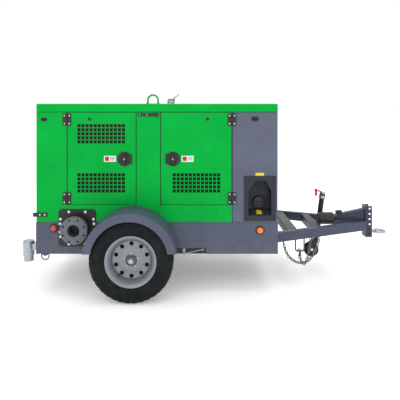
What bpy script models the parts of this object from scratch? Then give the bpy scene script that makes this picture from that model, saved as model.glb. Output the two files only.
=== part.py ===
"""Towable diesel pump set in a sound-enclosed box on a single-axle trailer.

Metres, +Z up, +X towards the towing eye. The right side (-Y) carries the discharge
port and the fuel filler. Shapes are laid out from the middle of the enclosure, and
the empty "trailer_origin" moves them so that the origin is under the middle of the
whole length, on the ground.
"""
import bpy
import bmesh
import math
from mathutils import Matrix, Vector

# ---- driving dimensions ----
GAP = 0.0003                 # clearance between pieces that touch
WHEEL_SIDES = 28             # facets of a rim or tyre
HALF_LENGTH = 1.035          # enclosure, half of its length
HALF_WIDTH = 0.61            # enclosure, half of its width
BASE_Z = 0.302               # underside of the base frame
SEAM_Z = 0.573               # base frame meets the enclosure
SILL_Z = 0.7205              # top of the sill below the doors
BODY_TOP = 1.512             # top of doors and side panels
ROOF_TOP = 1.586
PANEL = 0.030                # thickness of lined panels and doors
PLATE = 0.006                # base frame plate
TYRE_R = 0.344               # ST205/75R15
LIFT = 0.024                 # height of "trailer_origin", which rests the tyres on the ground
WHEEL_Z = TYRE_R - LIFT      # wheel axis as laid out
TYRE_W = 0.205
AXLE_X = -0.19
TYRE_Y = 0.7875              # middle of the tyre from the centre line
FENDER_R = 0.378
FENDER_CENTRE = (-0.2, 0.335)
FENDER_OUT = 0.91            # outer face of the fender skirt
FENDER_LIP = 0.066           # depth of the skirt
BEAM_BOTTOM, BEAM_TOP = 0.365, 0.451
DECK_Z = 0.452
BEAM_W = 0.050
KNEE = Vector((1.06, 0.49))  # outer corner where a beam turns in
TIP = Vector((1.9867, 0.088))
BEAM_TURN = math.atan2(KNEE.y - TIP.y, TIP.x - KNEE.x)
SHAFT_Z = 0.72               # crankshaft, pump shaft and fan
PORT_X, PORT_Z = -0.69, 0.522
FLANGE_R = 0.1143            # 4 in flange, 228.6 mm across
BOLT_CIRCLE_R = 0.09525
BORE_R = 0.051
PIPE_R = 0.057
FLANGE_OUT = 0.71            # face of both pipe flanges
SUCTION_X = -0.90
REAR_DOOR = (-0.766, -0.181)     # side doors, from hinge edge to latch edge
FRONT_DOOR = (0.638, 0.032)
HINGE_Z = (0.778, 1.450)     # middles of the two hinges of a side door
HINGE_OUT = 0.010            # hinge pin outside the panel face
GRILLE_W, GRILLE_H = 0.412, 0.170
GRILLE_LOW_Z, GRILLE_HIGH_Z = 0.909, 1.329
GRILLE_X = {1: -0.477, -1: 0.337}    # rear doors open from -X to +X, front doors the other way
LATCH_X = {1: -0.277, -1: 0.136}
LATCH_Z = 1.114
LATCH_R = 0.062
PORT_PLATE = 0.318
PORT_NOTCH = 0.070           # half width of the notch behind the port plate
FILLER_X, FILLER_Z = 0.879, 0.780
HITCH_TIP = 2.20             # tip of the lunette ring
STABILIZER_X, STABILIZER_Y, STABILIZER_R = -1.135, 0.50, 0.049
REAR_TIP = STABILIZER_X - STABILIZER_R
LEG_R = 0.042                # stabilizer leg
LUNETTE_Z = 0.337
JACK_TOP = Vector((1.579, 0.0, 0.691))
JACK_LEAN = math.radians(8.0)
JACK_WHEEL_R = 0.072
EXHAUST_X = 0.085
PORT_PLATE_RISE = {"right": 0.0045, "left": 0.0}
PORT_PLATE_SHIFT = {"right": 0.009, "left": 0.0}
CHAIN_A = [(1.110, 0.3625), (1.125, 0.300), (1.152, 0.240), (1.194, 0.192), (1.240, 0.162), (1.290, 0.148),
           (1.340, 0.152), (1.390, 0.186), (1.430, 0.240), (1.458, 0.305), (1.470, 0.3625)]
CHAIN_B = [(1.274, 0.236), (1.279, 0.195), (1.290, 0.165), (1.305, 0.136), (1.320, 0.124), (1.336, 0.135),
           (1.356, 0.174), (1.373, 0.235), (1.385, 0.305), (1.388, 0.3625)]
SIDES = {"right": -1, "left": 1}

COLOURS = {
    "green_paint": ((0.0, 0.48, 0.075), 0.35, 0.0),
    "grey_paint": ((0.12, 0.13, 0.18), 0.45, 0.0),
    "dark_grey_paint": ((0.09, 0.10, 0.15), 0.45, 0.0),
    "black_plastic": ((0.012, 0.012, 0.014), 0.5, 0.0),
    "black_steel": ((0.015, 0.015, 0.017), 0.45, 0.0),
    "galvanised": ((0.50, 0.52, 0.53), 0.45, 1.0),
    "silver_paint": ((0.45, 0.47, 0.50), 0.35, 0.6),
    "tyre_rubber": ((0.015, 0.015, 0.016), 0.85, 0.0),
    "cast_grey": ((0.16, 0.17, 0.18), 0.6, 0.4),
    "steel": ((0.35, 0.35, 0.36), 0.4, 1.0),
    "red_paint": ((0.55, 0.02, 0.02), 0.4, 0.0),
    "amber_lens": ((0.80, 0.25, 0.01), 0.2, 0.0),
    "red_lens": ((0.60, 0.01, 0.02), 0.2, 0.0),
    "white_plastic": ((0.65, 0.65, 0.62), 0.5, 0.0),
}

for old in list(bpy.data.objects):
    bpy.data.objects.remove(old, do_unlink=True)

origin_empty = bpy.data.objects.new("trailer_origin", None)
origin_empty.location = (-(HITCH_TIP + REAR_TIP) / 2, 0, LIFT)
bpy.context.collection.objects.link(origin_empty)


# ---- tools ----
def material(name):
    found = bpy.data.materials.get(name)
    if found:
        return found
    colour, roughness, metallic = COLOURS[name]
    made = bpy.data.materials.new(name)
    made.use_nodes = True
    shader = made.node_tree.nodes["Principled BSDF"]
    shader.inputs["Base Color"].default_value = (*colour, 1)
    shader.inputs["Roughness"].default_value = roughness
    shader.inputs["Metallic"].default_value = metallic
    made.diffuse_color = (*colour, 1)
    return made


def place(name, bm, finish, pivot=(0, 0, 0)):
    """Turn bm, drawn in trailer coordinates, into an object with its origin at pivot."""
    bmesh.ops.translate(bm, verts=bm.verts, vec=-Vector(pivot))
    bmesh.ops.recalc_face_normals(bm, faces=bm.faces)
    mesh = bpy.data.meshes.new(name)
    bm.to_mesh(mesh)
    bm.free()
    mesh.materials.append(material(finish))
    mesh.shade_smooth()
    mesh.set_sharp_from_angle(angle=math.radians(35))
    thing = bpy.data.objects.new(name, mesh)
    thing.location = pivot
    thing.parent = origin_empty
    bpy.context.collection.objects.link(thing)
    return thing


def bevel(thing, width=0.003):
    modifier = thing.modifiers.new("edges", "BEVEL")
    modifier.width = width
    modifier.segments = 1
    modifier.limit_method = "ANGLE"
    return thing


def boolean(thing, bm, operation):
    tool = place(f"{thing.name}.{operation.lower()}", bm, "steel")
    tool.hide_render = True
    tool.display_type = "WIRE"
    modifier = thing.modifiers.new(operation.lower(), "BOOLEAN")
    modifier.operation = operation
    modifier.solver = "EXACT"
    modifier.object = tool
    return thing


def cut(thing, bm):
    return boolean(thing, bm, "DIFFERENCE")


def add(thing, bm):
    return boolean(thing, bm, "UNION")


def block(low, high, bm=None):
    """A box between two corners."""
    bm = bm or bmesh.new()
    size = [high[i] - low[i] for i in range(3)]
    middle = [(high[i] + low[i]) / 2 for i in range(3)]
    matrix = Matrix.Translation(middle) @ Matrix.Diagonal((*size, 1))
    bmesh.ops.create_cube(bm, size=1, matrix=matrix)
    return bm


def prism(outline, axis, low, high, bm=None):
    """A flat outline pushed from low to high along X, Y or Z (its points are the other two)."""
    bm = bm or bmesh.new()
    spots = {"x": lambda a, b, c: (c, a, b), "y": lambda a, b, c: (a, c, b), "z": lambda a, b, c: (a, b, c)}
    rings = [[bm.verts.new(spots[axis](a, b, c)) for a, b in outline] for c in (low, high)]
    bm.faces.new(rings[0])
    bm.faces.new(rings[1])
    for i in range(len(outline)):
        j = (i + 1) % len(outline)
        bm.faces.new((rings[0][i], rings[0][j], rings[1][j], rings[1][i]))
    return bm


def turned(profile, centre, axis, segments=32, bm=None):
    """Turn (distance along axis, radius) points about an axis through centre.

    A profile that starts and ends on the axis is solid, any other one is a closed ring."""
    bm = bm or bmesh.new()
    axis = Vector(axis).normalized()
    side = axis.orthogonal().normalized()
    other = axis.cross(side)
    centre = Vector(centre)
    rings = []
    for along, radius in profile:
        base = centre + axis * along
        if radius == 0:
            rings.append([bm.verts.new(base)] * segments)
            continue
        turns = [2 * math.pi * k / segments for k in range(segments)]
        spots = [base + radius * (side * math.cos(t) + other * math.sin(t)) for t in turns]
        rings.append([bm.verts.new(spot) for spot in spots])
    solid = profile[0][1] == 0 and profile[-1][1] == 0
    for i in range(len(rings) - 1 if solid else len(rings)):
        a, b = rings[i], rings[(i + 1) % len(rings)]
        for k in range(segments):
            m = (k + 1) % segments
            corners = list(dict.fromkeys((a[k], a[m], b[m], b[k])))
            bm.faces.new(corners)
    return bm


def rod(start, end, radius, segments=16, bm=None):
    start, end = Vector(start), Vector(end)
    length = (end - start).length
    profile = [(0, 0), (0, radius), (length, radius), (length, 0)]
    return turned(profile, start, end - start, segments, bm)


def pipe(start, end, outer, inner, segments=24, bm=None):
    start, end = Vector(start), Vector(end)
    length = (end - start).length
    profile = [(0, inner), (0, outer), (length, outer), (length, inner)]
    return turned(profile, start, end - start, segments, bm)


def bent_rod(path, radius, sides=10, closed=False, bm=None):
    """A round rod along path, carried without twist."""
    bm = bm or bmesh.new()
    path = [Vector(p) for p in path]
    count = len(path)
    rings = []
    normal = None
    for i, spot in enumerate(path):
        before = path[i - 1] if closed or i else path[i]
        after = path[(i + 1) % count] if closed or i < count - 1 else path[i]
        tangent = (after - before).normalized()
        normal = tangent.orthogonal() if normal is None else normal - tangent * normal.dot(tangent)
        normal.normalize()
        other = tangent.cross(normal)
        turns = [2 * math.pi * k / sides for k in range(sides)]
        rings.append([bm.verts.new(spot + radius * (normal * math.cos(t) + other * math.sin(t))) for t in turns])
    for i in range(count if closed else count - 1):
        a, b = rings[i], rings[(i + 1) % count]
        for k in range(sides):
            m = (k + 1) % sides
            bm.faces.new((a[k], a[m], b[m], b[k]))
    if not closed:
        bm.faces.new(rings[0])
        bm.faces.new(rings[-1])
    return bm


def arc(centre, radius, start, end, steps):
    """Points of an arc in a plane, angles in degrees."""
    turns = [math.radians(start + (end - start) * k / steps) for k in range(steps + 1)]
    return [(centre[0] + radius * math.cos(t), centre[1] + radius * math.sin(t)) for t in turns]


def smooth_path(points, steps=4):
    """Catmull-Rom curve through points."""
    points = [Vector(p) for p in points]
    ends = [2 * points[0] - points[1]] + points + [2 * points[-1] - points[-2]]
    path = []
    for i in range(1, len(ends) - 2):
        p0, p1, p2, p3 = ends[i - 1:i + 3]
        for k in range(steps):
            t = k / steps
            path.append(0.5 * (2 * p1 + (p2 - p0) * t + (2 * p0 - 5 * p1 + 4 * p2 - p3) * t * t
                               + (3 * p1 - p0 - 3 * p2 + p3) * t ** 3))
    return path + [points[-1]]


def side_span(side, inner, outer):
    """Y range between two distances from the centre line, on one side."""
    return tuple(sorted((SIDES[side] * inner, SIDES[side] * outer)))


# ---- base frame ----
def base_side(side):
    y = SIDES[side]
    inner = HALF_WIDTH - PLATE
    fold = HALF_WIDTH - 0.04
    section = [(y * HALF_WIDTH, BASE_Z), (y * fold, BASE_Z), (y * fold, BASE_Z + PLATE),
               (y * inner, BASE_Z + PLATE), (y * inner, SEAM_Z), (y * HALF_WIDTH, SEAM_Z)]
    thing = place(f"base_side_{side}", prism(section, "x", -HALF_LENGTH, HALF_LENGTH), "dark_grey_paint")
    low, high = side_span(side, 0.5, 0.7)
    cut(thing, block((AXLE_X - 0.045, low, 0.25), (AXLE_X + 0.045, high, 0.395)))
    if side == "right":
        cut(thing, block((0.171, low, 0.25), (0.419, high, 0.353)))
        cut(thing, block((PORT_X - PORT_NOTCH, low, PORT_Z - PORT_NOTCH), (PORT_X + PORT_NOTCH, high, 0.7)))


def base_end(name, x_low, x_high):
    edge = HALF_WIDTH - PLATE - GAP
    bm = block((x_low, -edge, BASE_Z + PLATE + GAP), (x_high, edge, SEAM_Z))
    return place(name, bm, "dark_grey_paint")


def stabilizer_sleeve(base, side):
    """The fixed tube of a rear stabilizer and the bracket that holds it to the frame."""
    y = SIDES[side] * STABILIZER_Y
    outer = STABILIZER_R
    sleeve = pipe((STABILIZER_X, y, 0.262), (STABILIZER_X, y, 0.380), outer, LEG_R + 0.0008, 20)
    bracket = block((STABILIZER_X + outer - 0.005, y - 0.035, 0.312), (-HALF_LENGTH + 0.003, y + 0.035, 0.366))
    add(base, sleeve)
    add(base, bracket)


def frame_beam(side):
    """Chassis rail under the deck that turns in to the hitch."""
    y = SIDES[side]
    outline = [(-1.0, y * KNEE.y), (KNEE.x, y * KNEE.y), (TIP.x, y * TIP.y)]
    inner = y * (KNEE.y - BEAM_W)
    outline += [(TIP.x, y * beam_inner(TIP.x)), (KNEE.x - BEAM_W * math.tan(BEAM_TURN / 2), inner), (-1.0, inner)]
    bevel(place(f"frame_beam_{side}", prism(outline, "z", BEAM_BOTTOM, BEAM_TOP), "dark_grey_paint"))


def beam_outer(x):
    """Distance of the beam's outer face from the centre line, ahead of the knee."""
    return KNEE.y - (x - KNEE.x) * math.tan(BEAM_TURN)


def beam_inner(x):
    return beam_outer(x) - BEAM_W / math.cos(BEAM_TURN)


def beam_middle(x):
    return (beam_outer(x) + beam_inner(x)) / 2


def axle():
    half = 0.023
    reach = 0.66
    top = WHEEL_Z + half
    beam = block((AXLE_X - half, -reach, WHEEL_Z - half), (AXLE_X + half, reach, top))
    thing = place("axle_beam", beam, "black_steel")
    for y in SIDES.values():
        add(thing, rod((AXLE_X, y * (reach - 0.02), WHEEL_Z), (AXLE_X, y * 0.845, WHEEL_Z), 0.017, 16))
        low, high = sorted((y * (KNEE.y - 0.001), y * (KNEE.y - BEAM_W + 0.001)))
        add(thing, block((AXLE_X - 0.060, low, top - 0.01), (AXLE_X + 0.060, high, BEAM_BOTTOM - GAP)))


# ---- wheels ----
def wheel(side):
    y = SIDES[side]
    pivot = (AXLE_X, y * TYRE_Y, WHEEL_Z)
    axis = (0, y, 0)
    half = TYRE_W / 2
    tyre_profile = [(-0.078, 0.1925), (-0.090, 0.215), (-half, 0.262), (-0.088, 0.326), (-0.066, TYRE_R),
                    (0.066, TYRE_R), (0.088, 0.326), (half, 0.262), (0.090, 0.215), (0.078, 0.1925)]
    place(f"tyre_{side}", turned(tyre_profile, pivot, axis, WHEEL_SIDES), "tyre_rubber", pivot)
    seat = 0.1922
    rim_profile = [(-0.078, seat), (-0.090, 0.2085), (-0.096, 0.2085), (-0.088, 0.187), (0.018, 0.168),
                   (0.024, 0.120), (0.032, 0.085), (0.030, 0.022), (0.037, 0.022), (0.039, 0.088), (0.030, 0.122),
                   (0.030, 0.162), (0.088, 0.187), (0.096, 0.2085), (0.090, 0.2085), (0.078, seat), (0.0, 0.178)]
    rim = place(f"rim_{side}", turned(rim_profile, pivot, axis, WHEEL_SIDES), "silver_paint", pivot)
    holes = bmesh.new()
    for k in range(10):
        turn = 2 * math.pi * (k + 0.5) / 10
        x, z = AXLE_X + 0.132 * math.cos(turn), WHEEL_Z + 0.132 * math.sin(turn)
        rod((x, y * (TYRE_Y + 0.005), z), (x, y * (TYRE_Y + 0.06), z), 0.0175, 8, holes)
    cut(rim, holes)
    hub = [(-0.02, 0), (-0.02, 0.034), (0.050, 0.034), (0.080, 0.028), (0.084, 0.022), (0.084, 0)]
    add(rim, turned(hub, pivot, axis, 16))
    cut(rim, rod((AXLE_X, y * (TYRE_Y - 0.03), WHEEL_Z), (AXLE_X, y * (TYRE_Y + 0.0625), WHEEL_Z), 0.0185, 16))


def fender(side):
    """Round-topped wheel guard: a curved top and a curved outer skirt."""
    centre = FENDER_CENTRE
    sheet = 0.004
    low_angle = math.degrees(math.asin((0.39 - centre[1]) / FENDER_R))
    inner_low = math.degrees(math.asin((0.39 - centre[1]) / (FENDER_R - sheet)))
    outer_arc = arc(centre, FENDER_R, low_angle, 180 - low_angle, 24)
    inner_arc = arc(centre, FENDER_R - sheet, 180 - inner_low, inner_low, 24)
    low, high = side_span(side, HALF_WIDTH + GAP, FENDER_OUT)
    thing = place(f"fender_{side}", prism(outer_arc + inner_arc, "y", low, high), "dark_grey_paint")
    lip_low = math.degrees(math.asin((0.3905 - centre[1]) / (FENDER_R - FENDER_LIP)))
    top_low = math.degrees(math.asin((0.3905 - centre[1]) / (FENDER_R - 0.001)))
    skirt = arc(centre, FENDER_R - 0.001, top_low, 180 - top_low, 24)
    skirt += arc(centre, FENDER_R - FENDER_LIP, 180 - lip_low, lip_low, 20)
    low, high = side_span(side, FENDER_OUT - sheet, FENDER_OUT - 0.0002)
    add(thing, prism(skirt, "y", low, high))
    if side == "right":
        half = PORT_PLATE / 2 + 0.0015
        x, z = PORT_X + PORT_PLATE_SHIFT[side], PORT_Z + PORT_PLATE_RISE[side]
        plate_low, plate_high = -HALF_WIDTH - 0.0095, -HALF_WIDTH + 0.01
        cut(thing, block((x - half, plate_low, z - half), (x + half, plate_high, z + half)))


# ---- enclosure ----
def hinge_knuckle(bm, x, side, z):
    y = SIDES[side] * (HALF_WIDTH + HINGE_OUT)
    return rod((x, y, z - 0.022), (x, y, z + 0.022), 0.0055, 10, bm)


def side_frame(side):
    """Rear upright, centre post and the sill that joins them."""
    low, high = side_span(side, HALF_WIDTH - PANEL, HALF_WIDTH)
    left, right = -1.032, 0.642
    rear_x, post_a, post_b = -0.770, -0.177, 0.028
    bottom, top = SEAM_Z + GAP, BODY_TOP
    outline = [(left, bottom), (right, bottom), (right, SILL_Z), (post_b, SILL_Z), (post_b, top), (post_a, top),
               (post_a, SILL_Z), (rear_x, SILL_Z), (rear_x, top), (left, top)]
    thing = bevel(place(f"side_frame_{side}", prism(outline, "y", low, high), "green_paint"), 0.002)
    if side == "right":
        notch_low, notch_high = PORT_X - PORT_NOTCH, PORT_X + PORT_NOTCH
        cut(thing, block((notch_low, low - 0.1, 0.5), (notch_high, high + 0.1, PORT_Z + PORT_NOTCH)))
    else:
        cut(thing, rod((SUCTION_X, low - 0.1, SHAFT_Z), (SUCTION_X, high + 0.1, SHAFT_Z), 0.064, 24))
    y_low, y_high = side_span(side, HALF_WIDTH - 0.004, HALF_WIDTH + 0.004)
    bar_low, bar_high = side_span(side, HALF_WIDTH - 0.006, HALF_WIDTH + 0.012)
    add(thing, block((-0.162, bar_low, 1.478), (0.012, bar_high, 1.507)))
    for z in HINGE_Z:
        add(thing, block((-0.8065, y_low, z - 0.0505), (-0.7705, y_high, z + 0.0505)))


def side_panel(side):
    """Grey panel of the cooling and fuel bay, ahead of the doors."""
    low, high = side_span(side, HALF_WIDTH - PANEL, HALF_WIDTH)
    bm = block((0.645, low, SEAM_Z + GAP), (1.032, high, BODY_TOP))
    thing = bevel(place(f"side_panel_{side}", bm, "grey_paint"), 0.002)
    if side == "right":
        cut(thing, prism(filler_outline(0.004), "y", low - 0.05, high + 0.05))
    y_low, y_high = side_span(side, HALF_WIDTH - 0.004, HALF_WIDTH + 0.004)
    for z in HINGE_Z:
        add(thing, block((0.6455, y_low, z - 0.0505), (0.6785, y_high, z + 0.0505)))


def filler_outline(grow):
    """Opening of the fuel filler: a rectangle with its upper corners cut off."""
    left, right, bottom, top = 0.781 - grow, 0.977 + grow, 0.632 - grow, 0.928 + grow
    shoulder = 0.840 + grow / 2
    return [(left, bottom), (right, bottom), (right, shoulder), (0.929 + grow, top), (0.841 - grow, top),
            (left, shoulder)]


def side_door(name, side, span, grille_heights):
    """Lined door with recessed air grilles, hinge leaves and a round latch seat."""
    y = SIDES[side]
    hinge_x, free_x = span
    inwards = 1 if free_x > hinge_x else -1
    pivot = (hinge_x - inwards * 0.004, y * (HALF_WIDTH + HINGE_OUT), 0)
    low, high = side_span(side, HALF_WIDTH - PANEL, HALF_WIDTH)
    x_low, x_high = min(span), max(span)
    door = place(name, block((x_low, low, 0.7225), (x_high, high, BODY_TOP - 0.0005)), "green_paint", pivot)
    bevel(door, 0.002)
    half_w, half_h = GRILLE_W / 2, GRILLE_H / 2
    grille_x = GRILLE_X[inwards]
    for z in grille_heights:
        p_low, p_high = side_span(side, HALF_WIDTH - 0.018, HALF_WIDTH + 0.05)
        cut(door, block((grille_x - half_w, p_low, z - half_h), (grille_x + half_w, p_high, z + half_h)))
    leaf_low, leaf_high = side_span(side, HALF_WIDTH - 0.004, HALF_WIDTH + 0.004)
    pin = hinge_x - inwards * 0.004
    for z in HINGE_Z:
        near, far = hinge_x + inwards * 0.0005, hinge_x + inwards * 0.0325
        add(door, block((min(near, far), leaf_low, z - 0.0505), (max(near, far), leaf_high, z + 0.0505)))
        near = pin
        k_low, k_high = side_span(side, HALF_WIDTH + 0.0035, HALF_WIDTH + 0.010)
        add(door, block((min(near, far), k_low, z - 0.02), (max(near, far), k_high, z + 0.02)))
        add(door, hinge_knuckle(bmesh.new(), pin, side, z))
    seat_x, seat_y = LATCH_X[inwards], y * HALF_WIDTH
    add(door, rod((seat_x, seat_y - y * 0.01, LATCH_Z), (seat_x, seat_y + y * 0.006, LATCH_Z), LATCH_R, 20))


def latch_handle(name, side, x):
    """T handle that turns in its round seat."""
    y = SIDES[side]
    base = HALF_WIDTH + 0.006 + GAP
    pivot = (x, y * base, LATCH_Z)
    axis = (0, y, 0)
    hub = turned([(0, 0), (0, 0.030), (0.008, 0.030), (0.012, 0.022), (0.012, 0)], pivot, axis, 20)
    handle = place(name, hub, "black_plastic", pivot)
    low, high = side_span(side, base + 0.004, base + 0.026)
    add(handle, block((x - 0.0095, low, LATCH_Z - 0.046), (x + 0.0095, high, LATCH_Z + 0.046)))


def end_panels():
    """Front air outlet panel and the rear door, which is hinged along its top."""
    edge = HALF_WIDTH - PANEL - 0.0005
    low, high = SEAM_Z + GAP, BODY_TOP - 0.0005
    front = place("front_panel", block((1.008, -edge, low), (1.032, edge, high)), "grey_paint")
    bevel(front, 0.002)
    cut(front, block((1.018, -0.36, 0.76), (1.1, 0.36, 1.36)))
    pivot = (-1.043, 0, 1.5105)
    door = place("rear_door", block((-1.032, -edge, low), (-1.008, edge, high)), "green_paint", pivot)
    bevel(door, 0.002)
    for y in (-0.40, 0.40):
        add(door, rod((pivot[0], y - 0.03, pivot[2]), (pivot[0], y + 0.03, pivot[2]), 0.006, 10))
        add(door, block((pivot[0] - 0.006, y - 0.028, 1.44), (-1.031, y + 0.028, 1.5085)))
    add(door, block((-1.058, -0.07, 0.70), (-1.031, 0.07, 0.735)))


def roof():
    thing = place("roof", block((-HALF_LENGTH, -HALF_WIDTH, 1.5135), (HALF_LENGTH, HALF_WIDTH, ROOF_TOP)),
                  "green_paint")
    bevel(thing, 0.010).modifiers["edges"].segments = 2
    cut(thing, rod((EXHAUST_X, 0, 1.4), (EXHAUST_X, 0, 1.7), 0.032, 20))


def lifting_eye():
    x, half, radius = -0.089, 0.050, 0.0085
    top = 1.685 - radius
    foot = ROOF_TOP + GAP
    loop = [(x + a, 0, b) for a, b in arc((0, top - half), half, 0, 180, 12)]
    path = [(x + half, 0, foot + 0.002)] + loop + [(x - half, 0, foot + 0.002)]
    eye = place("lifting_eye", bent_rod(path, radius, 12), "green_paint")
    add(eye, block((x - 0.068, -0.03, foot), (x + 0.068, 0.03, foot + 0.006)))


def exhaust():
    top = 1.636
    x = EXHAUST_X
    stack = pipe((x, 0, 1.26), (x, 0, top), 0.0265, 0.0225, 20)
    muffler = turned([(-0.27, 0), (-0.27, 0.06), (-0.24, 0.09), (0.24, 0.09), (0.27, 0.06), (0.27, 0)],
                     (0, 0, 1.29), (1, 0, 0), 20)
    thing = place("exhaust_stack", muffler, "steel")
    add(thing, stack)
    cut(thing, rod((x, 0, 1.35), (x, 0, 1.7), 0.0224, 20))
    add(thing, block((-0.04, -0.02, 1.1203), (0.0, 0.02, 1.22)))
    add(thing, pipe((x, 0, top - 0.035), (x, 0, top - 0.012), 0.032, 0.026, 20))
    add(thing, block((x + 0.024, -0.007, top - 0.034), (x + 0.040, 0.007, top + 0.003)))
    hinge = Vector((x + 0.033, 0, top + 0.0078))
    turn = math.radians(35)
    reach = Vector((math.cos(turn), 0, math.sin(turn)))
    up = Vector((-math.sin(turn), 0, math.cos(turn)))
    disc = rod(hinge + reach * 0.034 - up * 0.002, hinge + reach * 0.034 + up * 0.002, 0.030, 24)
    flap = place("rain_flap", disc, "steel", hinge)
    add(flap, rod(hinge + Vector((0, -0.012, 0)), hinge + Vector((0, 0.012, 0)), 0.0045, 10))


# ---- ports and fuel ----
def flange(bm, x, z, side, outer, thickness):
    y = SIDES[side]
    return pipe((x, y * (outer - thickness), z), (x, y * outer, z), FLANGE_R, BORE_R + 0.001, 24, bm)


def port(name, side, x, z, plate_w, plate_h, inner_path):
    """Bolted cover plate, pipe and a pair of flanges; the outer flange's bolt holes are free."""
    y = SIDES[side]
    low, high = side_span(side, HALF_WIDTH + GAP, HALF_WIDTH + 0.0083)
    corner = 0.03
    w, h = plate_w / 2 - corner, plate_h / 2 - corner
    middle_x, middle_z = x + PORT_PLATE_SHIFT[side], z + PORT_PLATE_RISE[side]
    outline = []
    for cx, cz, start in ((w, h, 0), (-w, h, 90), (-w, -h, 180), (w, -h, 270)):
        outline += arc((middle_x + cx, middle_z + cz), corner, start, start + 90, 4)
    thing = place(name, prism(outline, "y", low, high), "cast_grey")
    add(thing, bent_rod(inner_path, PIPE_R, 16))
    add(thing, flange(bmesh.new(), x, z, side, FLANGE_OUT, 0.024))
    add(thing, flange(bmesh.new(), x, z, side, FLANGE_OUT - 0.030, 0.024))
    cut(thing, rod((x, y * (FLANGE_OUT + 0.05), z), (x, y * 0.35, z), BORE_R, 16))
    holes = bmesh.new()
    for k in range(8):
        turn = 2 * math.pi * (k + 0.5) / 8
        hx, hz = x + BOLT_CIRCLE_R * math.cos(turn), z + BOLT_CIRCLE_R * math.sin(turn)
        rod((hx, y * (FLANGE_OUT + 0.02), hz), (hx, y * (FLANGE_OUT - 0.027), hz), 0.0095, 6, holes)
    cut(thing, holes)


def ports():
    spigot = 0.2103
    port("discharge_port", "right", PORT_X, PORT_Z, PORT_PLATE, PORT_PLATE,
         [(PORT_X, -FLANGE_OUT + 0.002, PORT_Z), (PORT_X, -spigot, PORT_Z)])
    bend = 0.128
    eye_x = PORT_X - 0.0703
    elbow = [(SUCTION_X + bend - bend * math.cos(t), bend - bend * math.sin(t), SHAFT_Z)
             for t in (math.pi / 2 * k / 4 for k in range(5))]
    port("suction_port", "left", SUCTION_X, SHAFT_Z, 0.18, 0.318,
         [(SUCTION_X, FLANGE_OUT - 0.002, SHAFT_Z)] + elbow + [(eye_x, 0, SHAFT_Z)])


def filler():
    """Recessed tray of the fuel filler with its bezel, and the cap in it."""
    back = 0.487
    tray = place("filler_recess", prism(filler_outline(0.003), "y", -0.613, -back), "dark_grey_paint")
    add(tray, block((0.744, -0.617, 0.585), (1.017, -HALF_WIDTH - GAP, 0.967)))
    cut(tray, prism(filler_outline(0.0), "y", -0.70, -back - 0.003))
    pivot = (0.885, -back - 0.003 - GAP, 0.723)
    cap = turned([(0, 0), (0, 0.050), (0.006, 0.055), (0.028, 0.055), (0.034, 0.048), (0.034, 0)],
                 pivot, (0, -1, 0), 20)
    thing = place("fuel_cap", cap, "black_plastic", pivot)
    add(thing, block((0.840, pivot[1] - 0.046, 0.715), (0.930, pivot[1] - 0.030, 0.731)))
    floor = DECK_Z + 0.0063
    tank = place("fuel_tank", block((0.66, -0.455, floor), (1.0, 0.455, 0.70)), "black_plastic")
    bevel(tank, 0.02)
    add(tank, rod((0.885, -0.40, 0.66), (0.885, -back + GAP + 0.0002, 0.723), 0.03, 16))
    cut(tank, block((0.7, -0.6, 0.5), (1.0, -back + GAP, 0.9)))


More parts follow.
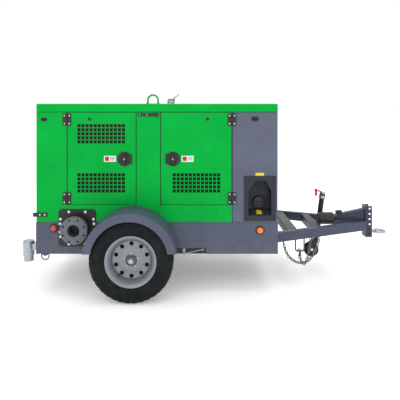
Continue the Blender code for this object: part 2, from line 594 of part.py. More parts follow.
# ---- engine and pump ----
def machinery():
    floor = DECK_Z + 0.0063
    edge = HALF_WIDTH - PLATE - 0.0016
    place("deck_plate", block((-1.0, -edge, DECK_Z), (1.0, edge, DECK_Z + PLATE)), "black_steel")
    engine = place("diesel_engine", block((-0.34, -0.17, 0.60), (0.36, 0.17, 0.95)), "cast_grey")
    bevel(engine, 0.012)
    add(engine, block((-0.30, -0.13, 0.945), (0.32, 0.13, 1.12)))
    add(engine, block((-0.25, -0.14, floor), (0.25, 0.14, 0.605)))
    add(engine, turned([(-0.2747, 0), (-0.2747, 0.08), (-0.16, 0.09), (-0.06, 0.19), (0.01, 0.19), (0.01, 0)],
                       (-0.34, 0, SHAFT_Z), (1, 0, 0), 28))
    add(engine, block((0.355, -0.12, 0.62), (0.395, 0.12, 0.90)))
    add(engine, rod((-0.20, -0.16, 0.80), (-0.20, -0.23, 0.80), 0.048, 16))
    add(engine, rod((0.15, 0.12, 0.86), (0.34, 0.24, 0.86), 0.055, 16))
    cut(engine, rod((-0.70, 0, SHAFT_Z), (0.45, 0, SHAFT_Z), 0.024, 16))
    shaft = 0.018
    rotor_profile = [(-0.02, 0), (-0.02, 0.10), (-0.018, 0.125), (0.018, 0.125), (0.022, 0.03), (0.022, shaft),
                     (1.105, shaft), (1.105, 0.08), (1.125, 0.08), (1.125, 0.05), (1.165, 0.045), (1.165, 0)]
    centre = Vector((PORT_X, 0, SHAFT_Z))
    rotor = place("crank_train", turned(rotor_profile, centre, (1, 0, 0), 20), "steel", centre)
    for k in range(6):
        blade = block((-0.003, -0.035, 0.03), (0.003, 0.035, 0.25))
        spin = Matrix.Translation((PORT_X + 1.145, 0, SHAFT_Z)) @ Matrix.Rotation(math.pi / 3 * k, 4, "X")
        blade.transform(spin @ Matrix.Rotation(math.radians(28), 4, "Z"))
        add(rotor, blade)
    casing_profile = [(-0.07, 0.045), (-0.032, 0.045), (-0.030, 0.140), (0.030, 0.140), (0.034, 0.026),
                      (0.0747, 0.026), (0.0747, 0.07), (0.045, 0.08), (0.045, 0.165), (0.03, 0.18), (-0.03, 0.18),
                      (-0.045, 0.165), (-0.045, 0.075), (-0.07, 0.07)]
    casing = place("pump_casing", turned(casing_profile, centre, (1, 0, 0), 20), "cast_grey")
    spout = rod((PORT_X, -0.02, PORT_Z), (PORT_X, -0.21, PORT_Z), 0.062, 16)
    bottom = block((PORT_X - 0.03, -0.13, floor), (PORT_X + 0.03, 0.13, 0.56))
    add(casing, spout)
    add(casing, bottom)
    cut(casing, rod((PORT_X, -0.09, PORT_Z), (PORT_X, -0.30, PORT_Z), BORE_R, 16))
    radiator = place("radiator", block((0.52, -0.33, floor), (0.58, 0.33, 1.15)), "black_steel")
    bevel(radiator, 0.004)
    add(radiator, rod((0.53, -0.1, 1.14), (0.53, -0.1, 1.19), 0.025, 16))
    panel = place("control_panel", block((-0.998, -0.25, 1.0), (-0.93, 0.25, 1.30)), "grey_paint")
    add(panel, block((-0.998, -0.20, floor), (-0.98, 0.20, 1.01)))


# ---- tongue, jack and safety chains ----
def cross_member(name, x_low, x_high):
    inside = 0.0008
    low, high = beam_inner(x_low) - inside, beam_inner(x_high) - inside
    outline = [(x_low, -low), (x_high, -high), (x_high, high), (x_low, low)]
    return place(name, prism(outline, "z", BEAM_BOTTOM + 0.004, BEAM_TOP - 0.004), "dark_grey_paint")


def hitch():
    web, tip, half, wall = 1.987, 2.051, 0.050, 0.006
    low, high = 0.290, 0.592
    section = [(web, -half), (tip, -half), (tip, wall - half), (web + 0.008, wall - half), (web + 0.008, half - wall),
               (tip, half - wall), (tip, half), (web, half)]
    channel = place("hitch_channel", prism(section, "z", low, high), "dark_grey_paint")
    brace = prism([(1.60, BEAM_TOP + GAP), (1.989, BEAM_TOP + GAP), (1.989, 0.562), (1.66, 0.492), (1.60, 0.470)],
                  "y", -0.030, 0.030)
    add(channel, brace)
    holes = bmesh.new()
    for k in range(6):
        z = 0.3145 + k * 0.0503
        rod((2.028, -0.1, z), (2.028, 0.1, z), 0.010, 8, holes)
    cut(channel, holes)
    ring_r, bar = 0.049, 0.0135
    centre = (HITCH_TIP - ring_r - bar, 0, LUNETTE_Z)
    circle = [(bar * math.sin(t), ring_r + bar * math.cos(t)) for t in (2 * math.pi * k / 10 for k in range(10))]
    ring = place("lunette_ring", turned(circle, centre, (0, 0, 1), 24), "galvanised")
    add(ring, block((2.03, -0.020, LUNETTE_Z - 0.0125), (2.094, 0.020, LUNETTE_Z + 0.0125)))
    foot = web + 0.008 + GAP
    add(ring, block((foot, -half + wall + GAP, LUNETTE_Z - 0.04), (2.04, half - wall - GAP, LUNETTE_Z + 0.04)))


def jack():
    down = Vector((-math.sin(JACK_LEAN), 0, -math.cos(JACK_LEAN)))

    def at(distance):
        return JACK_TOP + down * distance

    tube = place("jack_tube", pipe(at(0.0), at(0.385), 0.025, 0.0225, 16), "black_steel")
    add(tube, pipe(at(-0.012), at(0.028), 0.029, 0.012, 16))
    add(tube, prism([(1.5003, 0.375), (1.5108, 0.375), (1.5200, 0.441), (1.5003, 0.441)], "y", -0.045, 0.045))
    leg = place("jack_leg", pipe(at(0.060), at(0.465), 0.020, 0.017, 16), "galvanised", at(0.385))
    hub = Vector((1.468, 0, 0.162))
    cheek = [(1.482, 0.262), (1.534, 0.255), (1.516, 0.226), (1.484, 0.150), (1.466, 0.144), (1.453, 0.152),
             (1.452, 0.168)]
    for y in (-0.0325, 0.0285):
        add(leg, prism(cheek, "y", y, y + 0.004))
    add(leg, prism([(1.482, 0.262), (1.534, 0.255), (1.5318, 0.240), (1.4798, 0.247)], "y", -0.031, 0.031))
    add(leg, rod(hub + Vector((0, -0.035, 0)), hub + Vector((0, 0.035, 0)), 0.006, 12))
    wheel_profile = [(-0.022, 0.0068), (-0.025, 0.016), (-0.018, 0.040), (-0.024, 0.050), (-0.021, 0.066),
                     (-0.012, JACK_WHEEL_R), (0.012, JACK_WHEEL_R), (0.021, 0.066), (0.024, 0.050),
                     (0.018, 0.040), (0.025, 0.016), (0.022, 0.0068)]
    place("jack_wheel", turned(wheel_profile, hub, (0, 1, 0), 16), "black_plastic", hub)
    knob = at(-0.0125)
    crank = place("jack_crank", rod(knob, at(-0.030), 0.024, 20), "red_paint", knob)
    end = Vector((1.499, -0.072, 0.757))
    add(crank, bent_rod([at(-0.024), at(-0.024) + (end - at(-0.024)) * 0.5, end], 0.007, 10))
    add(crank, rod(end + Vector((0, 0, 0.012)), end - Vector((0, 0, 0.060)), 0.0125, 12))


def tongue_fittings():
    drum_x, drum_y, drum_z, drum_r = 1.506, -0.121, 0.492, 0.057
    drum = turned([(-0.004, 0), (-0.004, 0.05), (0, drum_r), (0.135, drum_r), (0.139, 0.05), (0.139, 0)],
                  (drum_x, drum_y, drum_z), (1, 0, 0), 20)
    thing = place("document_tube", drum, "black_plastic")
    add(thing, block((1.5003, drum_y - 0.03, 0.375), (1.508, drum_y + 0.03, 0.50)))
    hang, radius = 0.247, 0.0065
    left, right = 1.236, 1.314
    y = -beam_middle((left + right) / 2)
    bend = 0.02
    path = [(left, y, BEAM_BOTTOM + 0.01)]
    path += [(a, y, b) for a, b in arc((left + bend, hang + radius + bend), bend, 180, 270, 4)]
    path += [(a, y, b) for a, b in arc((right - bend, hang + radius + bend), bend, 270, 360, 4)]
    path += [(right, y, BEAM_BOTTOM + 0.01)]
    add(bpy.data.objects["frame_beam_right"], bent_rod(path, radius, 8))
    for name, spots, shift in (("safety_chain_a", CHAIN_A, 0.014), ("safety_chain_b", CHAIN_B, -0.016)):
        route = [(x, -beam_middle(x) - shift, z) for x, z in spots]
        place(name, bent_rod(smooth_path(route, 2), 0.006, 8), "galvanised")


def small_movers():
    for side, y in SIDES.items():
        foot, top = ((STABILIZER_X, y * STABILIZER_Y, z) for z in (0.212, 0.378))
        place(f"stabilizer_leg_{side}", rod(foot, top, LEG_R, 20), "galvanised", foot)
        ring_y, ring_z, radius = y * 0.590, 0.292, 0.0055
        low = 0.242 + radius
        path = [(-0.9945, ring_y, ring_z), (-0.9285, ring_y, ring_z)]
        path += [(a, ring_y, b) for a, b in arc((-0.9615, low + 0.033), 0.033, 0, -180, 8)]
        lug = block((-0.974, ring_y - 0.010, 0.283), (-0.949, ring_y + 0.010, BASE_Z + 0.004))
        base = bpy.data.objects[f"base_side_{side}"]
        add(base, lug)
        cut(base, rod((-1.0, ring_y, ring_z), (-0.92, ring_y, ring_z), 0.0066, 12))
        place(f"tie_ring_{side}", bent_rod(path, radius, 8, closed=True), "galvanised", (-0.9615, ring_y, ring_z))
    base = bpy.data.objects["base_side_right"]
    add(base, block((0.213, -0.606, 0.322), (0.249, -0.572, 0.40)))
    pivot = (0.231, -0.6063, 0.338)
    lever = place("drain_lever", rod(pivot, (pivot[0], -0.618, pivot[2]), 0.011, 16), "black_steel", pivot)
    add(lever, bent_rod([(0.231, -0.613, 0.338), (0.30, -0.613, 0.328), (0.392, -0.613, 0.330)], 0.004, 8))
    add(lever, turned([(-0.012, 0), (-0.010, 0.009), (0.010, 0.009), (0.012, 0)], (0.396, -0.613, 0.330),
                      (1, 0, 0), 12))


def lamp(name, x, z, outer, lens, finish):
    y = HALF_WIDTH + GAP
    profile = [(0, 0), (0, outer), (0.010, outer), (0.012, lens + 0.002), (0.020, lens - 0.002), (0.026, lens * 0.6),
               (0.028, 0)]
    place(name, turned(profile, (x, -y, z), (0, -1, 0), 20), finish)


# ---- assembly ----
for side in SIDES:
    base_side(side)
    frame_beam(side)
    wheel(side)
    fender(side)
    side_frame(side)
    side_panel(side)
    side_door(f"door_rear_{side}", side, REAR_DOOR, (GRILLE_LOW_Z, GRILLE_HIGH_Z))
    side_door(f"door_front_{side}", side, FRONT_DOOR, (GRILLE_LOW_Z,))
    latch_handle(f"latch_rear_{side}", side, LATCH_X[1])
    latch_handle(f"latch_front_{side}", side, LATCH_X[-1])
inner_end = HALF_LENGTH - PLATE
rear_base = base_end("base_rear", -HALF_LENGTH, -inner_end)
for side in SIDES:
    stabilizer_sleeve(rear_base, side)
front_base = base_end("base_front", inner_end, HALF_LENGTH)
for side in SIDES:
    low, high = side_span(side, KNEE.y - BEAM_W - 0.002, KNEE.y + 0.002)
    cut(front_base, block((1.0, low, BEAM_BOTTOM - 0.002), (1.1, high, BEAM_TOP + 0.002)))
axle()
end_panels()
roof()
lifting_eye()
exhaust()
ports()
filler()
machinery()
cross_member("cross_member_front", 1.17, 1.255)
cross_member("cross_member_jack", 1.43, 1.50)
hitch()
jack()
tongue_fittings()
small_movers()
lamp("marker_lamp_amber", 0.881, 0.504, 0.037, 0.027, "amber_lens")
lamp("marker_lamp_red", -0.882, 0.523, 0.036, 0.027, "red_lens")
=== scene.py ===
"""Looks of the towable diesel pump set: finishes, pressed panels, wheels, fittings, light and camera."""
import math
import bpy
import bmesh
from mathutils import Matrix, Vector


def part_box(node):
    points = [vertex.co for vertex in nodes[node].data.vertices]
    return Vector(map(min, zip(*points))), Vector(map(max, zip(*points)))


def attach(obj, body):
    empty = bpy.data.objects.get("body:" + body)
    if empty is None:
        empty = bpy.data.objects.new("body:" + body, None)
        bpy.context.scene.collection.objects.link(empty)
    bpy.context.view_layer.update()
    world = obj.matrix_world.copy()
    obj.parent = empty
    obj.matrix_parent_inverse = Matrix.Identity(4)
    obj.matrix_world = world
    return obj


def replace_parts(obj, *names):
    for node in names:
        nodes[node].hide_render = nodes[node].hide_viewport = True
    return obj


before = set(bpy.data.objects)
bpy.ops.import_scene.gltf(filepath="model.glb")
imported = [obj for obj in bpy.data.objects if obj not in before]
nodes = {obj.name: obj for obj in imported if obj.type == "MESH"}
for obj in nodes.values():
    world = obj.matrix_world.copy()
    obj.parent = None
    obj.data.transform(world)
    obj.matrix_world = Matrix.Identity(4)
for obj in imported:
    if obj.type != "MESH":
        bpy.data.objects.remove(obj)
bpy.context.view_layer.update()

ROOF_LOW, ROOF_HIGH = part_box("roof")
MID_X = (ROOF_LOW.x + ROOF_HIGH.x) / 2      # middle of the enclosure along X
LIFT = ROOF_HIGH.z - 1.586                  # heights below are given without this
FACE = 0.61                                 # distance of each side face from the middle
UP = (0, 0, 1)
SIDES = {"right": -1, "left": 1}


# ---- materials ----
def new_material(name):
    made = bpy.data.materials.new(name)
    made.use_nodes = True
    return made, made.node_tree, made.node_tree.nodes["Principled BSDF"]


def link(tree, a, b):
    tree.links.new(a, b)


def noise(tree, scale, detail=4.0, roughness=0.55):
    """Noise in the object's own metres."""
    coords = tree.nodes.new("ShaderNodeTexCoord")
    made = tree.nodes.new("ShaderNodeTexNoise")
    made.inputs["Scale"].default_value = scale
    made.inputs["Detail"].default_value = detail
    made.inputs["Roughness"].default_value = roughness
    link(tree, coords.outputs["Object"], made.inputs["Vector"])
    return made.outputs["Fac"]


def set_inputs(shader, values):
    for socket, value in values.items():
        shader.inputs[socket].default_value = value


def ramp(tree, value, stops):
    made = tree.nodes.new("ShaderNodeValToRGB")
    while len(made.color_ramp.elements) < len(stops):
        made.color_ramp.elements.new(0.5)
    for element, (place, colour) in zip(made.color_ramp.elements, stops):
        element.position = place
        element.color = (*colour, 1) if len(colour) == 3 else colour
    link(tree, value, made.inputs["Fac"])
    return made.outputs["Color"]


def mottle(tree, shader, socket, grain, stops):
    """Noise of a given grain (scale, detail, roughness) through a ramp into one socket."""
    link(tree, ramp(tree, noise(tree, *grain), stops), shader.inputs[socket])


def roughness_mottle(tree, shader, grain, roughness, low, high, at_high=0.8):
    stops = [(0.3, (roughness * low,) * 3), (at_high, (roughness * high,) * 3)]
    mottle(tree, shader, "Roughness", grain, stops)


def bump(tree, shader, height, strength, distance):
    made = tree.nodes.new("ShaderNodeBump")
    made.inputs["Strength"].default_value = strength
    made.inputs["Distance"].default_value = distance
    link(tree, height, made.inputs["Height"])
    link(tree, made.outputs["Normal"], shader.inputs["Normal"])


def shade(colour, factor):
    return tuple(min(1.0, c * factor) for c in colour)


def mix(tree, factor, first, second):
    made = tree.nodes.new("ShaderNodeMix")
    made.data_type = "RGBA"
    link(tree, factor, made.inputs["Factor"])
    for socket, value in ((made.inputs[6], first), (made.inputs[7], second)):
        if isinstance(value, tuple):
            socket.default_value = (*value, 1)
        else:
            link(tree, value, socket)
    return made.outputs[2]


def dust_mask(tree, low, high):
    """1 near the ground, fading to 0 upwards, broken up by noise."""
    place = tree.nodes.new("ShaderNodeTexCoord")
    split = tree.nodes.new("ShaderNodeSeparateXYZ")
    link(tree, place.outputs["Object"], split.inputs[0])
    span = tree.nodes.new("ShaderNodeMapRange")
    span.inputs["From Min"].default_value = low
    span.inputs["From Max"].default_value = high
    span.inputs["To Min"].default_value = 1.0
    span.inputs["To Max"].default_value = 0.0
    link(tree, split.outputs["Z"], span.inputs["Value"])
    patchy = tree.nodes.new("ShaderNodeMath")
    patchy.operation = "MULTIPLY"
    link(tree, span.outputs["Result"], patchy.inputs[0])
    link(tree, noise(tree, 9.0, 6.0, 0.65), patchy.inputs[1])
    return patchy.outputs["Value"]


def edge_wear(tree, sharpness=(0.54, 0.60)):
    geometry = tree.nodes.new("ShaderNodeNewGeometry")
    return ramp(tree, geometry.outputs["Pointiness"], [(sharpness[0], (0, 0, 0)), (sharpness[1], (1, 1, 1))])


def paint(name, colour, roughness=0.38, peel=0.06, dirt=0.35, coat=0.10, metallic=0.0, gloss=0.3):
    """Sprayed paint: slight cloudiness, orange peel, dust low down, lighter worn edges."""
    made, tree, shader = new_material(name)
    cloud = ramp(tree, noise(tree, 3.5, 3.0), [(0.3, shade(colour, 0.90)), (0.7, shade(colour, 1.08))])
    speck = ramp(tree, noise(tree, 90.0, 3.0, 0.7), [(0.60, (0, 0, 0)), (0.78, (0.10, 0.10, 0.10))])
    specked = mix(tree, speck, cloud, shade(colour, 0.6))
    dust = ramp(tree, dust_mask(tree, 0.15, 0.95), [(0.25, (0, 0, 0)), (0.9, (dirt, dirt, dirt))])
    dusty = mix(tree, dust, specked, (0.22, 0.20, 0.17))
    worn = edge_wear(tree)
    wear_noise = ramp(tree, noise(tree, 40.0, 5.0, 0.7), [(0.55, (0, 0, 0)), (0.75, (0.35, 0.35, 0.35))])
    both = tree.nodes.new("ShaderNodeMath")
    both.operation = "MULTIPLY"
    link(tree, worn, both.inputs[0])
    link(tree, wear_noise, both.inputs[1])
    final = mix(tree, both.outputs["Value"], dusty, shade(colour, 1.8))
    link(tree, final, shader.inputs["Base Color"])
    roughness_mottle(tree, shader, (14.0, 5.0), roughness, 0.85, 1.3, 0.75)
    set_inputs(shader, {"Metallic": metallic, "Specular IOR Level": gloss,
                        "Coat Weight": coat, "Coat Roughness": 0.18})
    bump(tree, shader, noise(tree, 260.0, 2.0), peel, 0.0006)
    return made


def plastic(name, colour, roughness=0.5, grain=700.0, strength=0.12):
    """Moulded plastic with a fine grain."""
    made, tree, shader = new_material(name)
    mottle(tree, shader, "Base Color", (12.0, 5.0), [(0.3, shade(colour, 0.8)), (0.75, shade(colour, 1.35))])
    roughness_mottle(tree, shader, (30.0, 4.0), roughness, 0.85, 1.2)
    bump(tree, shader, noise(tree, grain, 2.0), strength, 0.0004)
    return made


def metal(name, colour, roughness=0.4, metallic=1.0, grain=60.0, spangle=False, rust=0.0):
    """Bare or plated metal: uneven tone, zinc spangle or rust spots where asked for."""
    made, tree, shader = new_material(name)
    stops = [(0.3, shade(colour, 0.72)), (0.72, shade(colour, 1.15))]
    base = ramp(tree, noise(tree, grain, 5.0, 0.65), stops)
    if spangle:
        cells = tree.nodes.new("ShaderNodeTexVoronoi")
        cells.inputs["Scale"].default_value = 110.0
        coords = tree.nodes.new("ShaderNodeTexCoord")
        link(tree, coords.outputs["Object"], cells.inputs["Vector"])
        flake = ramp(tree, cells.outputs["Color"], [(0.2, shade(colour, 0.75)), (0.9, shade(colour, 1.2))])
        base = mix(tree, noise(tree, 25.0, 3.0), base, flake)
    if rust:
        spots = ramp(tree, noise(tree, 22.0, 7.0, 0.7), [(0.56, (0, 0, 0)), (0.72, (rust, rust, rust))])
        base = mix(tree, spots, base, (0.16, 0.06, 0.025))
    link(tree, base, shader.inputs["Base Color"])
    roughness_mottle(tree, shader, (35.0, 5.0), roughness, 0.8, 1.3)
    set_inputs(shader, {"Metallic": metallic})
    bump(tree, shader, noise(tree, 180.0, 5.0), 0.12, 0.0008)
    return made


def lens(name, colour):
    """Moulded lamp lens: glossy and saturated, with a faint glow."""
    made, tree, shader = new_material(name)
    mottle(tree, shader, "Base Color", (60.0, 2.0), [(0.3, shade(colour, 0.85)), (0.7, shade(colour, 1.1))])
    set_inputs(shader, {"Roughness": 0.12, "Coat Weight": 0.8,
                        "Emission Color": (*colour, 1), "Emission Strength": 0.04})
    bump(tree, shader, noise(tree, 500.0, 1.0), 0.15, 0.0006)
    return made


def rubber(name):
    """Matt black rubber with patches of dust."""
    made, tree, shader = new_material(name)
    stops = [(0.3, (0.003, 0.005, 0.005)), (0.75, (0.010, 0.014, 0.014))]
    tone = ramp(tree, noise(tree, 18.0, 6.0, 0.6), stops)
    dust = ramp(tree, noise(tree, 6.0, 6.0, 0.7), [(0.5, (0, 0, 0)), (0.85, (0.16, 0.16, 0.16))])
    link(tree, mix(tree, dust, tone, (0.10, 0.09, 0.08)), shader.inputs["Base Color"])
    set_inputs(shader, {"Roughness": 0.72, "Specular IOR Level": 0.16})
    bump(tree, shader, noise(tree, 420.0, 3.0), 0.2, 0.0006)
    return made


def foam(name):
    """Black foam or felt, also used for what lies in deep shade."""
    made, tree, shader = new_material(name)
    stops = [(0.3, (0.004, 0.004, 0.004)), (0.8, (0.016, 0.016, 0.017))]
    mottle(tree, shader, "Base Color", (200.0, 4.0), stops)
    set_inputs(shader, {"Roughness": 0.95})
    bump(tree, shader, noise(tree, 350.0, 3.0), 0.5, 0.002)
    return made


GREEN = (0.0, 0.365, 0.043)
GREY = (0.092, 0.103, 0.152)
FRAME_GREY = (0.068, 0.080, 0.122)
M = {
    "green": paint("green_coat", GREEN, 0.38, dirt=0.05, coat=0.02, gloss=0.06),
    "grey": paint("grey_coat", GREY, 0.42, dirt=0.18),
    "frame": paint("chassis_coat", FRAME_GREY, 0.45, dirt=0.30),
    "arm": paint("tongue_coat", (0.046, 0.053, 0.096), 0.45, dirt=0.12),
    "hitch": paint("hitch_coat", (0.028, 0.033, 0.062), 0.45, dirt=0.12),
    # this finish is also the painted shade behind the drain lever's notch
    "dark": paint("dark_coat_and_painted_shade", (0.015, 0.021, 0.031), 0.5, dirt=0.12),
    "cross": paint("cross_member_coat", (0.031, 0.038, 0.044), 0.5, dirt=0.10),
    "silver": paint("wheel_silver", (0.225, 0.235, 0.262), 0.38, dirt=0.12, metallic=0.3, gloss=0.5),
    "red": paint("red_coat", (0.45, 0.018, 0.015), 0.35),
    "yellow": paint("label_yellow", (0.72, 0.58, 0.03), 0.5, dirt=0.05),
    "white": paint("label_white", (0.72, 0.72, 0.70), 0.45, dirt=0.05),
    "port": paint("port_coat", (0.115, 0.125, 0.148), 0.5, dirt=0.20),
    "black": plastic("black_moulded", (0.012, 0.012, 0.013)),
    "black_steel": paint("black_coat", (0.012, 0.012, 0.014), 0.42, dirt=0.15),
    "rubber": rubber("tyre_rubber"),
    "foam": foam("lining_foam_and_painted_shade"),
    "galvanised": metal("galvanised_zinc", (0.42, 0.45, 0.48), 0.42, 0.85, 60, spangle=True, rust=0.10),
    "zinc": metal("zinc_fastener", (0.68, 0.68, 0.66), 0.32, 0.9, 120),
    "steel": metal("weathered_steel", (0.36, 0.36, 0.37), 0.42, 0.9, 40, rust=0.35),
    "iron": metal("painted_iron", (0.15, 0.16, 0.175), 0.6, 0.2, 30, rust=0.12),
    "amber": lens("amber_lens", (0.80, 0.17, 0.005)),
    "red_lens": lens("red_lens", (0.50, 0.008, 0.012)),
    "dark_steel": metal("ring_steel", (0.13, 0.14, 0.15), 0.45, 0.6, 90, rust=0.25),
    "chain": metal("chain_steel", (0.19, 0.20, 0.20), 0.42, 0.8, 90, rust=0.25),
    "soot": metal("sooty_steel", (0.20, 0.21, 0.21), 0.55, 0.6, 70, rust=0.3),
}
CAD_FINISH = {
    "green": ("roof", "side_frame_right", "side_frame_left", "rear_door", "lifting_eye"),
    "grey": ("side_panel_right", "side_panel_left", "front_panel", "control_panel"),
    "frame": ("base_side_right", "base_side_left", "base_front", "base_rear", "fender_right", "fender_left"),
    "arm": ("frame_beam_right", "frame_beam_left"),
    "hitch": ("hitch_channel",),
    "dark": ("filler_recess",),
    "cross": ("cross_member_front", "cross_member_jack"),
    "black": ("fuel_tank", "document_tube", "jack_wheel", "fuel_cap"),
    "black_steel": ("axle_beam", "deck_plate", "radiator", "jack_tube", "jack_leg"),
    "galvanised": ("lunette_ring", "stabilizer_leg_right", "stabilizer_leg_left"),
    "dark_steel": ("tie_ring_right", "tie_ring_left"),
    "iron": ("diesel_engine", "pump_casing"),
    "port": ("suction_port",),
    "steel": ("crank_train", "drain_lever"),
    "soot": ("exhaust_stack", "rain_flap"),
}
for key, names in CAD_FINISH.items():
    for name in names:
        mesh = nodes[name].data
        mesh.materials.clear()
        mesh.materials.append(M[key])
        mesh.polygons.foreach_set("use_smooth", [True] * len(mesh.polygons))
        mesh.set_sharp_from_angle(angle=math.radians(32))


# ---- mesh tools ----
def at(x, y, z):
    """A point given from the middle of the enclosure."""
    return Vector((x + MID_X, y, z + LIFT))


def piece(name, bm, body, finish, bevel=0.0, segments=2, angle=32):
    """A finished piece that rides on a body."""
    bmesh.ops.recalc_face_normals(bm, faces=bm.faces)
    mesh = bpy.data.meshes.new(name)
    bm.to_mesh(mesh)
    bm.free()
    mesh.materials.append(M[finish])
    mesh.shade_smooth()
    mesh.set_sharp_from_angle(angle=math.radians(angle))
    thing = bpy.data.objects.new(name, mesh)
    bpy.context.scene.collection.objects.link(thing)
    if bevel:
        modifier = thing.modifiers.new("edges", "BEVEL")
        modifier.width = bevel
        modifier.segments = segments
        modifier.limit_method = "ANGLE"
        modifier.angle_limit = math.radians(40)
    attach(thing, body)
    return thing


def block(low, high, bm=None):
    bm = bm or bmesh.new()
    low, high = Vector(low), Vector(high)
    size = Vector([abs(v) for v in high - low])
    matrix = Matrix.Translation((low + high) / 2) @ Matrix.Diagonal((*size, 1))
    bmesh.ops.create_cube(bm, size=1, matrix=matrix)
    return bm


def turned(profile, centre, axis, segments=48, bm=None, shift=None):
    """Turn (along, radius) points about an axis; shift(k, i) may change the radius of a point."""
    bm = bm or bmesh.new()
    axis = Vector(axis).normalized()
    side = axis.orthogonal().normalized()
    other = axis.cross(side)
    centre = Vector(centre)
    rings = []
    for i, (along, radius) in enumerate(profile):
        base = centre + axis * along
        if radius == 0:
            rings.append([bm.verts.new(base)] * segments)
            continue
        ring = []
        for k in range(segments):
            turn = 2 * math.pi * k / segments
            r = radius + (shift(k, i) if shift else 0)
            ring.append(bm.verts.new(base + r * (side * math.cos(turn) + other * math.sin(turn))))
        rings.append(ring)
    is_open = profile[0][1] == 0 and profile[-1][1] == 0
    for i in range(len(rings) - 1 if is_open else len(rings)):
        a, b = rings[i], rings[(i + 1) % len(rings)]
        for k in range(segments):
            m = (k + 1) % segments
            corners = list(dict.fromkeys((a[k], a[m], b[m], b[k])))
            if len(corners) > 2:
                bm.faces.new(corners)
    return bm


def rod(start, end, radius, segments=20, bm=None, chamfer=0.0):
    start, end = Vector(start), Vector(end)
    length = (end - start).length
    waist = radius - chamfer
    profile = [(0, 0), (0, waist), (chamfer, radius), (length - chamfer, radius), (length, waist),
               (length, 0)]
    if not chamfer:
        profile = [(0, 0), (0, radius), (length, radius), (length, 0)]
    return turned(profile, start, end - start, segments, bm)


def bent_rod(path, radius, sides=12, closed=False, bm=None):
    """A round bar along a path, with a frame carried from point to point so that it doesn't twist."""
    bm = bm or bmesh.new()
    path = [Vector(p) for p in path]
    count = len(path)
    rings, normal = [], None
    for i, spot in enumerate(path):
        before = path[i - 1] if closed or i else path[i]
        after = path[(i + 1) % count] if closed or i < count - 1 else path[i]
        tangent = (after - before).normalized()
        normal = tangent.orthogonal() if normal is None else normal - tangent * normal.dot(tangent)
        normal.normalize()
        other = tangent.cross(normal)
        turns = [2 * math.pi * k / sides for k in range(sides)]
        rings.append([bm.verts.new(spot + radius * (normal * math.cos(t) + other * math.sin(t)))
                      for t in turns])
    for i in range(count if closed else count - 1):
        a, b = rings[i], rings[(i + 1) % count]
        for k in range(sides):
            m = (k + 1) % sides
            bm.faces.new((a[k], a[m], b[m], b[k]))
    if not closed:
        bm.faces.new(rings[0])
        bm.faces.new(rings[-1])
    return bm


def outline_plate(points, y_low, y_high, bm=None):
    """A plate from an outline of (x, z) points, between two Y values."""
    bm = bm or bmesh.new()
    rings = [[bm.verts.new((x, y, z + LIFT)) for x, z in points] for y in (y_low, y_high)]
    bm.faces.new(rings[0])
    bm.faces.new(rings[1])
    for i in range(len(points)):
        j = (i + 1) % len(points)
        bm.faces.new((rings[0][i], rings[0][j], rings[1][j], rings[1][i]))
    return bm


def round_rect(cx, cz, width, height, radius, steps=5):
    """Outline of a rectangle with round corners."""
    points = []
    for sx, sz, start in ((1, 1, 0), (-1, 1, 90), (-1, -1, 180), (1, -1, 270)):
        for k in range(steps + 1):
            turn = math.radians(start + 90 * k / steps)
            points.append((cx + sx * (width / 2 - radius) + radius * math.cos(turn),
                           cz + sz * (height / 2 - radius) + radius * math.sin(turn)))
    return points


def side_plate(side, x, z, width, height, radius, inner, outer, steps=5):
    """A plate with round corners on a side face, between two depths out from the face."""
    points = round_rect(x + MID_X, z, width, height, radius, steps)
    y = SIDES[side]
    return outline_plate(points, *sorted((y * (FACE + inner), y * (FACE + outer))))


def mm(pairs):
    """Pairs of millimetres, given in metres."""
    return [(a / 1000, b / 1000) for a, b in pairs]


def ring_spots(centre, radius, count, phase=0.5, along=0.0):
    """Points spaced evenly round a circle about Y; phase is a part of one step."""
    for k in range(count):
        turn = 2 * math.pi * (k + phase) / count
        yield centre + Vector((radius * math.cos(turn), along, radius * math.sin(turn)))


def screw(bm, spot, outward, radius=0.0065, height=0.004):
    """Domed round head."""
    profile = [(0, 0), (0, radius), (height * 0.45, radius * 0.92), (height * 0.85, radius * 0.6),
               (height, 0)]
    return turned(profile, spot, outward, 14, bm)


def hex_bolt(bm, spot, outward, across=0.015, height=0.009, washer=True):
    if washer:
        wide = across * 0.82
        turned([(0, 0), (0, wide), (0.002, wide), (0.002, 0)], spot, outward, 18, bm)
    base = 0.0018 if washer else 0
    r = across * 0.577
    profile = [(base, 0), (base, r), (height - 0.001, r), (height, r * 0.86), (height, 0)]
    return turned(profile, spot, outward, 6, bm)


def fasteners(name, body, finish, head, spots, outward, *sizes):
    """One piece of equal screws or bolts."""
    bm = bmesh.new()
    for spot in spots:
        head(bm, spot, outward, *sizes)
    return piece(name, bm, body, finish)


def cut(thing, bm):
    """Drill thing with bm, applied at once."""
    bmesh.ops.recalc_face_normals(bm, faces=bm.faces)
    mesh = bpy.data.meshes.new("drill")
    bm.to_mesh(mesh)
    bm.free()
    drill = bpy.data.objects.new("drill", mesh)
    bpy.context.scene.collection.objects.link(drill)
    modifier = thing.modifiers.new("drill", "BOOLEAN")
    modifier.operation = "DIFFERENCE"
    modifier.solver = "EXACT"
    modifier.object = drill
    bpy.context.view_layer.update()
    depsgraph = bpy.context.evaluated_depsgraph_get()
    result = bpy.data.meshes.new_from_object(thing.evaluated_get(depsgraph))
    result.set_sharp_from_angle(angle=math.radians(32))
    thing.modifiers.clear()
    thing.data = result
    bpy.data.objects.remove(drill)


# ---- side doors with punched grilles ----
HOLE, PITCH = 0.0272, 0.0345
COLUMNS, ROWS = 12, 5
GRILLE_Z = {"low": 0.909, "high": 1.329}
